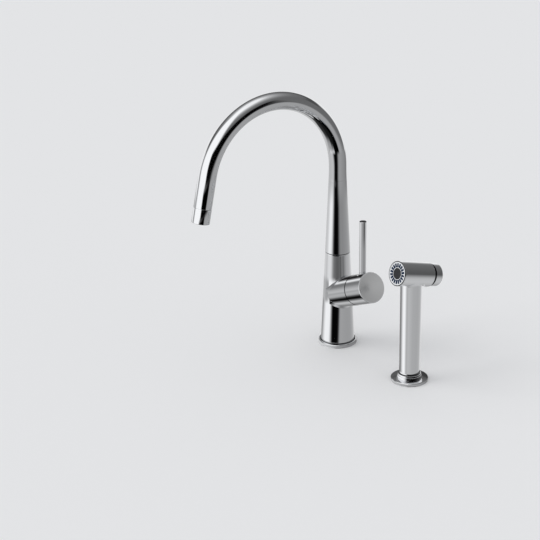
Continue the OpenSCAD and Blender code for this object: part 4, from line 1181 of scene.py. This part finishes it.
@dataclass
class Shank:
    """A threaded tube through the worktop.

    Args:
        name: the piece's name.
        node: the CAD node that it replaces.
        place: its place in the frame.
        radius: radius over the thread.
        bore: radius of its bore.
        top: height of its top end.
        wide_bore: radius and lowest height of a wider bore above, or None.
        low: height of its lower end.
        pitch: rise of one turn of its thread.
        depth: depth of the thread.
    """

    name: str
    node: str
    place: Matrix
    radius: float
    bore: float
    top: float
    wide_bore: tuple[float, float] | None = None
    low: float = -60.0
    pitch: float = 1.5
    depth: float = 0.85

    def build(self) -> None:
        """Builds the tube and winds its thread."""
        root = self.radius - self.depth
        wide, step = self.wide_bore or (self.bore, self.low)
        inner = [(wide, step), (self.bore, step)] if self.wide_bore else []
        outer = [(self.bore, self.low), (root, self.low, 0.2), (root, self.top, 0.2), (wide, self.top)]
        tube = Bench.turned(self.name, inner + outer)
        turns = int((self.top - self.low - 2.5) / self.pitch)
        crest, low = self.radius - 0.03, self.low + 0.8
        Bench.joined(tube, Bench.ridge(self.name + "_thread", root - 0.05, crest, self.pitch, turns, low))
        hand_over(tube, self.place, Body.TAP, Slot.BRASS, stands_for=[self.node], sharp=24)


class KeptNodes:
    """The CAD nodes that stay as they are, and get the finish of their slot, but the cover ring, which gets
    the near-black painted shade.
    """

    # Painted shade: the cover ring, seen in the seam under the cap, is near-black.
    painted_shade_nodes = ("cover_ring",)

    def build(self) -> None:
        """Dresses every CAD node that no piece has replaced."""
        slots = {s["node"]: Slot(s["material_slot"]) for s in frame["record"]["subparts"]}
        for name, node in frame["nodes"].items():
            finish = PAINTED_SHADE if name in self.painted_shade_nodes else SLOT_FINISH[slots[name]]
            dress(node, finish)
            if not node.hide_render:
                LOG.info("%s: CAD node in %s", name, finish.name)


@dataclass(frozen=True)
class Zone:
    """A soft-edged zone of the studio's sky, as mirrors see it.

    Args:
        centre: azimuth of its middle in degrees, from the camera's side, right positive.
        half: half its width.
        soft: width of its soft edge.
        rise: elevation of its middle.
        rise_half: half its height.
        rise_soft: width of its soft upper and lower edge.
        level: its brightness.
    """

    centre: float
    half: float
    soft: float
    rise: float
    rise_half: float
    rise_soft: float
    level: float


@dataclass(frozen=True)
class Card:
    """Painted reflection: a curved card close round a piece, glowing bright and dark in bands, that only
    mirrors see, from its front.

    Args:
        name: the card's name.
        place: its local frame, in millimetres.
        low: height and radius of its lower edge.
        high: height and radius of its upper edge.
        share: radius of the piece over the card's own.
        eye: local angle of the camera.
        bands: surface angle from the camera's side, and the grey that the piece shows there.
        lean: how far the bands' right half turns towards the left at the lower edge, in degrees.
        ends: how softly the lower and the upper edge fade, in millimetres.
        fade: width of the soft edge at each end of the bands, in degrees.
        steps: facets round the card.
        lean_span: angles between which the lean sets in, in degrees.
    """

    name: str
    place: Matrix
    low: tuple[float, float]
    high: tuple[float, float]
    share: float
    eye: float
    bands: Sequence[tuple[float, float]]
    lean: float = 0.0
    ends: tuple[float, float] = (0.0, 0.0)
    fade: float = 5.0
    steps: int = 64
    lean_span: tuple[float, float] = (-24.0, -14.0)

    def seen(self, angle: float) -> float:
        """Place on the card, in degrees round its axis, that the piece mirrors at a surface angle."""
        if not self.share:
            return angle
        return 2 * angle - math.degrees(math.asin(self.share * math.sin(math.radians(angle))))

    def material(self) -> bpy.types.Material:
        """The card's banded glow, clear from behind and beyond its soft edges."""
        made = bpy.data.materials.new(self.name)
        made.use_nodes = True
        made.node_tree.nodes.clear()
        nodes = Nodes(made.node_tree)
        x, y, z = nodes.add("SeparateXYZ", Vector=nodes.add("TexCoord").outputs["Object"]).outputs
        turn = nodes.sum("WRAP", nodes.azimuth(x, y, self.eye), 180.0, -180.0)
        first, last = self.seen(self.bands[0][0]), self.seen(self.bands[-1][0])
        masks = [nodes.soft(turn, first, first + self.fade), nodes.soft(turn, last, last - self.fade)]
        for edge, way, width in ((self.low[0], 1, self.ends[0]), (self.high[0], -1, self.ends[1])):
            if width:
                masks.append(nodes.soft(z, edge, edge + way * width))
        inside = masks[0]
        for mask in masks[1:]:
            inside = nodes.sum("MINIMUM", inside, mask)
        if self.lean:
            right = nodes.soft(turn, *self.lean_span)
            drop = nodes.add("MapRange", Value=z, From_Min=self.high[0], From_Max=self.low[0]).outputs[0]
            turn = nodes.sum("MULTIPLY_ADD", nodes.sum("MULTIPLY", right, drop), self.lean, turn)
        share = nodes.sum("DIVIDE", nodes.sum("ADD", turn, 180.0), 360.0)
        stops = [((self.seen(angle) + 180) / 360, glow(grey)) for angle, grey in self.bands]
        level = nodes.ramp(share, stops)
        front = nodes.sum("SUBTRACT", 1.0, nodes.add("NewGeometry").outputs["Backfacing"])
        shown = nodes.sum("MULTIPLY", inside, front)
        light = nodes.blend(shown, nodes.add("BsdfTransparent"), nodes.add("Emission", Color=level))
        nodes.add("OutputMaterial", Surface=light.outputs[0])
        made.cycles.emission_sampling = "NONE"
        return made

    def build(self) -> None:
        """Spins the card, turns its front to the piece and hides it from all but mirrors."""
        first = math.radians(self.seen(self.bands[0][0]) - 1)
        last = math.radians(self.seen(self.bands[-1][0]) + 1)
        card = Bench.start(self.name)
        Bench.draw([(self.low[1], self.low[0]), (self.high[1], self.high[0])])
        bpy.ops.mesh.select_all(action="SELECT")
        bpy.ops.mesh.spin(steps=self.steps, angle=last - first, center=(0, 0, 0), axis=(0, 0, -1))
        Bench.sealed()
        begin = math.radians(self.eye) + first - math.pi / 2
        card.matrix_world = Matrix.Rotation(begin, 4, "Z")
        bpy.ops.object.transform_apply(location=False, rotation=True, scale=False)
        side = card.data.polygons[0]
        if side.normal.dot(Vector((0, 0, side.center.z + 1)) - side.center) < 0:
            card.data.flip_normals()
        card.matrix_world = TO_METRES @ self.place
        card.data.materials.append(self.material())
        for ray in ("camera", "diffuse", "transmission", "volume_scatter", "shadow"):
            setattr(card, "visible_" + ray, False)


def glow(grey: float) -> float:
    """Brightness that a mirror of the tap's chrome shows as the given grey of 255."""
    return ((grey / 255 + 0.055) / 1.055) ** 2.4 / 0.8


EYE = 53.2
HOUSING_EYE = -3.8
BARREL_EYE = 105.5
ROD = Matrix.Translation((57, 0, 0))
FACING = Matrix.Rotation(math.pi, 4, "X")
# Painted reflections: the greys that each chrome piece shows, laid on glowing cards round it.
CARDS = (
    Card(
        "column_card", UPRIGHT, (134.3, 20.6), (244, 16.27), 0.84, EYE,
        [
            (-88, 196), (-72, 190), (-62, 194), (-54, 208), (-44, 234), (-33, 232), (-27, 188), (-21, 80),
            (-16, 8), (-9, 0), (0, 4), (4, 50), (8, 106), (15, 132), (25, 132), (42, 140), (58, 150),
            (74, 170), (88, 194),
        ],
        ends=(0.0, 14.0),
    ),
    Card(
        "column_top_card", UPRIGHT, (200, 17.2), (284, 15.6), 0.86, EYE,
        [
            (-88, 190), (-72, 182), (-60, 180), (-48, 184), (-36, 186), (-30, 182), (-25, 124), (-20, 12),
            (-15, 0), (-8, 0), (-2, 26), (3, 104), (8, 144), (18, 148), (34, 141), (50, 134), (66, 124),
            (78, 122), (88, 150),
        ],
        ends=(45.0, 7.0),
    ),
    Card(
        "upper_body_card", UPRIGHT, (92, 22.6), (134.3, 20.4), 0.87, EYE,
        [
            (-88, 204), (-64, 200), (-54, 188), (-46, 212), (-34, 216), (-28, 200), (-22, 150),
            (-16, 112), (-6, 92), (2, 88), (8, 100), (13, 84), (19, 122), (25, 102), (32, 136), (42, 162),
            (56, 174), (72, 195), (88, 212),
        ],
        ends=(12.0, 0.0),
    ),
    Card(
        "lower_body_card", UPRIGHT, (5.4, 26.6), (68, 24.6), 0.89, EYE,
        [
            (-88, 150), (-76, 138), (-66, 172), (-58, 214), (-50, 238), (-34, 236), (-28, 192), (-23, 84),
            (-20, 14), (-17, 2), (1, 4), (4.5, 40), (7, 96), (10, 147), (15, 155), (26, 152), (40, 150),
            (54, 152), (68, 166), (88, 206),
        ],
        lean=5.0,
        ends=(0.0, 8.0),
    ),
    Card(
        "foot_card", UPRIGHT, (5.05, 24.9), (6.0, 24.9), 0.97, EYE,
        [(-88, 120), (-50, 170), (-26, 120), (-18, 20), (20, 24), (60, 60), (88, 90)],
    ),
    Card(
        "housing_card", CARTRIDGE, (3, 22.8), (81, 23.6), 0.9, HOUSING_EYE,
        [
            (-88, 180), (-76, 150), (-68, 84), (-60, 30), (-53, 24), (-47, 126), (-41, 238), (-37, 200),
            (-32, 112), (-24, 120), (-12, 168), (-5, 182), (1, 158), (7, 174), (13, 160), (18, 84),
            (23, 6), (30, 14), (37, 130), (43, 190), (50, 170), (60, 122), (68, 126), (78, 160),
            (88, 190),
        ],
    ),
    Card(
        "rod_card", ROD, (100, 8.2), (194.5, 8.2), 0.61, EYE,
        [
            (-86, 170), (-66, 172), (-50, 182), (-40, 212), (-32, 200), (-25, 168), (-9, 156), (3, 150),
            (13, 136), (22, 132), (34, 146), (46, 166), (58, 188), (70, 212), (86, 222),
        ],
    ),
    Card(
        "rod_top_card", ROD, (150, 7.6), (194.5, 7.6), 0.66, EYE,
        [
            (-86, 190), (-62, 186), (-50, 206), (-36, 204), (-26, 180), (-14, 150), (0, 140), (11, 120),
            (19, 50), (25, 64), (33, 140), (44, 172), (58, 196), (86, 212),
        ],
        ends=(30.0, 0.0),
    ),
    Card(
        "handle_card", HOLDER, (10.7, 18.0), (138.5, 18.0), 0.78, EYE,
        [
            (-88, 130), (-72, 124), (-64, 130), (-56, 176), (-48, 226), (-40, 242), (-32, 232),
            (-25, 176), (-20, 168), (-14, 180), (0, 173), (10, 166), (36, 163), (56, 170), (68, 196),
            (88, 216),
        ],
    ),
    Card(
        "barrel_card", BARREL, (-46, 18.6), (23, 18.6), 0.88, BARREL_EYE,
        [
            (-68, 150), (-56, 172), (-38, 185), (-24, 180), (-16, 166), (-8, 130), (-1, 82), (8, 84),
            (30, 95), (48, 102), (57, 120), (64, 176), (72, 229), (86, 240),
        ],
    ),
    Card(
        "collar_card", HOLDER, (4.65, 17.6), (10.7, 17.6), 0.93, EYE,
        [
            (-84, 150), (-66, 225), (-56, 238), (-31, 238), (-25, 215), (-20, 160), (-15, 60), (-10, 14),
            (22, 8), (34, 40), (48, 62), (62, 84), (84, 110),
        ],
    ),
    Card(
        "back_card", HOLDER, (0.9, 27.0), (12, 27.0), 0.0, EYE + 180,
        [(-100, 60), (-40, 58), (0, 70), (40, 84), (100, 88)],
    ),
    Card(
        "cap_card", CARTRIDGE @ FACING, (-84, 24.0), (-100, 6.0), 0.0, 0.0,
        [(-178, 154), (-90, 166), (0, 184), (90, 166), (178, 154)],
    ),
    Card(
        "tap_ring_card", UPRIGHT, (0.4, 27.6), (0.4, 55.0), 0.0, EYE,
        [(-175, 195), (-60, 204), (-30, 185), (0, 150), (30, 130), (110, 122), (150, 140), (175, 150)],
    ),
    Card(
        "flange_card", HOLDER, (0.4, 25.3), (0.4, 52.0), 0.0, EYE,
        [
            (-175, 195), (-60, 184), (-30, 164), (0, 155), (40, 142), (70, 124), (120, 120), (150, 160),
            (175, 170),
        ],
    ),
)

WALL = (
    (-90, 0.10), (-66, 0.20), (-55, 0.36), (-40, 0.40), (-17, 0.40), (-8, 0.16), (30, 0.15), (40, 0.18),
    (48, 0.26), (55, 0.36), (65, 0.62), (74, 1.04),
)
ZONES = (
    Zone(180, 70, 8, 21, 6, 3, 0.08),
    Zone(-150, 42, 14, -42, 24, 8, 0.62),
    Zone(-166, 58, 9, 0, 14, 4, 0.98),
    Zone(-41, 50, 12, 30, 67, 6, 1.14),
    Zone(-42, 95, 12, -80, 26, 8, 0.03),
    Zone(30, 40, 5, 6, 17, 5, 0.0),
    Zone(11.5, 30.5, 5, -50, 42, 6, 0.0),
    Zone(-14, 30, 12, -62, 20, 8, 0.01),
)


@dataclass
class Studio:
    """The pale floor, the soft light, the cards and the camera."""

    camera_at: Point = (1.511, -1.131, 0.825)
    pitch: float = 20.8
    lens: float = 96.2
    shift_x: float = -0.1246
    pale: Colour = (0.894, 0.887, 0.881)
    sun: float = 0.6
    even: float = 0.77
    sun_spread: float = 38.0
    sun_height: float = 48.0
    sun_side: float = -34.0

    def camera(self) -> None:
        """The photograph's viewpoint."""
        made = bpy.data.cameras.new("camera")
        made.lens = self.lens
        made.sensor_width = 36.0
        made.shift_x = self.shift_x
        view = bpy.data.objects.new("camera", made)
        bpy.context.scene.collection.objects.link(view)
        view.location = self.camera_at
        view.rotation_euler = (math.radians(90 - self.pitch), 0, math.radians(EYE))
        bpy.context.scene.camera = view

    def floor(self) -> None:
        """A large pale floor that keeps the object's shadow, and that mirrors don't see."""
        Bench.clear()
        bpy.ops.mesh.primitive_plane_add(size=40, location=(0, 0, 0))
        plane = bpy.context.object
        plane.name = "floor"
        made = bpy.data.materials.new("pale_floor")
        made.use_nodes = True
        shader = made.node_tree.nodes["Principled BSDF"]
        shader.inputs["Base Color"].default_value = (*self.pale, 1)
        shader.inputs["Roughness"].default_value = 0.9
        shader.inputs["Specular IOR Level"].default_value = 0.0
        plane.data.materials.append(made)
        plane.visible_glossy = False

    @staticmethod
    def window(nodes: Nodes, sockets: Sockets) -> Sockets:
        """The mask of one zone of the sky."""
        off = nodes.sum("WRAP", nodes.sum("SUBTRACT", sockets["Azimuth"], sockets["Centre"]), 180.0, -180.0)
        up = nodes.sum("SUBTRACT", sockets["Elevation"], sockets["Rise"])
        masks = []
        for far, half, soft in ((off, "Half", "Soft"), (up, "Rise Half", "Rise Soft")):
            low = nodes.sum("SUBTRACT", sockets[half], sockets[soft])
            high = nodes.sum("ADD", sockets[half], sockets[soft])
            masks.append(nodes.soft(nodes.sum("ABSOLUTE", far), low, high, falling=True))
        return {"Mask": nodes.sum("MULTIPLY", *masks)}

    def world(self) -> None:
        """A soft studio sky: even for diffuse light, with broad bright and dark zones for metal."""
        made = bpy.data.worlds.new("studio")
        bpy.context.scene.world = made
        made.use_nodes = True
        made.node_tree.nodes.clear()
        nodes = Nodes(made.node_tree)
        keys = ("Azimuth", "Elevation", "Centre", "Half", "Soft", "Rise", "Rise Half", "Rise Soft")
        window = Nodes.group("sky_zone", dict.fromkeys(keys, 0.0), {"Mask": "Float"}, self.window)
        x, y, z = nodes.add("SeparateXYZ", Vector=nodes.add("TexCoord").outputs["Generated"]).outputs
        turn = nodes.azimuth(x, y, EYE)
        rise = nodes.sum("MULTIPLY", nodes.sum("ARCSINE", z), 180 / math.pi)
        share = nodes.sum("DIVIDE", nodes.sum("ADD", rise, 90.0), 180.0)
        colour = nodes.ramp(share, [((height + 90) / 180, level) for height, level in WALL])
        for zone in ZONES:
            *sizes, level = astuple(zone)
            mask = nodes.placed(window, dict(zip(keys, (turn, rise, *sizes))))
            colour = nodes.mix(mask.outputs[0], colour, (level, level, level, 1))
        metal = nodes.add("Background", Color=colour)
        even = nodes.add("Background", Color=(0.95, 0.97, 1.0, 1), Strength=self.even)
        seen = nodes.add("Background", Color=(*self.pale, 1), Strength=1.0)
        ray = nodes.add("LightPath").outputs
        light = nodes.blend(ray["Is Glossy Ray"], even, metal)
        nodes.add("OutputWorld", Surface=nodes.blend(ray["Is Camera Ray"], light, seen).outputs[0])

    def lamps(self) -> None:
        """One broad soft lamp from the left."""
        made = bpy.data.lights.new("key", "SUN")
        made.energy = self.sun
        made.angle = math.radians(self.sun_spread)
        lamp = bpy.data.objects.new("key", made)
        lamp.rotation_euler = (math.radians(self.sun_height), 0, math.radians(self.sun_side))
        lamp.visible_glossy = False
        bpy.context.scene.collection.objects.link(lamp)

    def build(self) -> None:
        """Builds the whole studio."""
        self.camera()
        self.floor()
        self.world()
        self.lamps()
        for card in CARDS:
            card.build()
        bpy.context.scene.view_settings.view_transform = "Standard"


def main() -> None:
    """Builds every piece in order, then the studio."""
    logging.basicConfig(level=logging.INFO, format="%(name)s %(message)s")
    Effects.build()
    body = TapBody()
    for part in (
        Studio(),
        body,
        Gooseneck(body),
        Lever(),
        SprayHolder(),
        HandSpray(),
        SprayFace(),
        Shank("tap_shank", "mounting_shank", UPRIGHT, 16.4, 14.6, 28.0),
        Shank("holder_tube", "holder_shank", HOLDER, 15.5, 13.0, 3.0, (13.95, -12.0)),
        KeptNodes(),
    ):
        part.build()


if __name__ == "__main__":
    main()
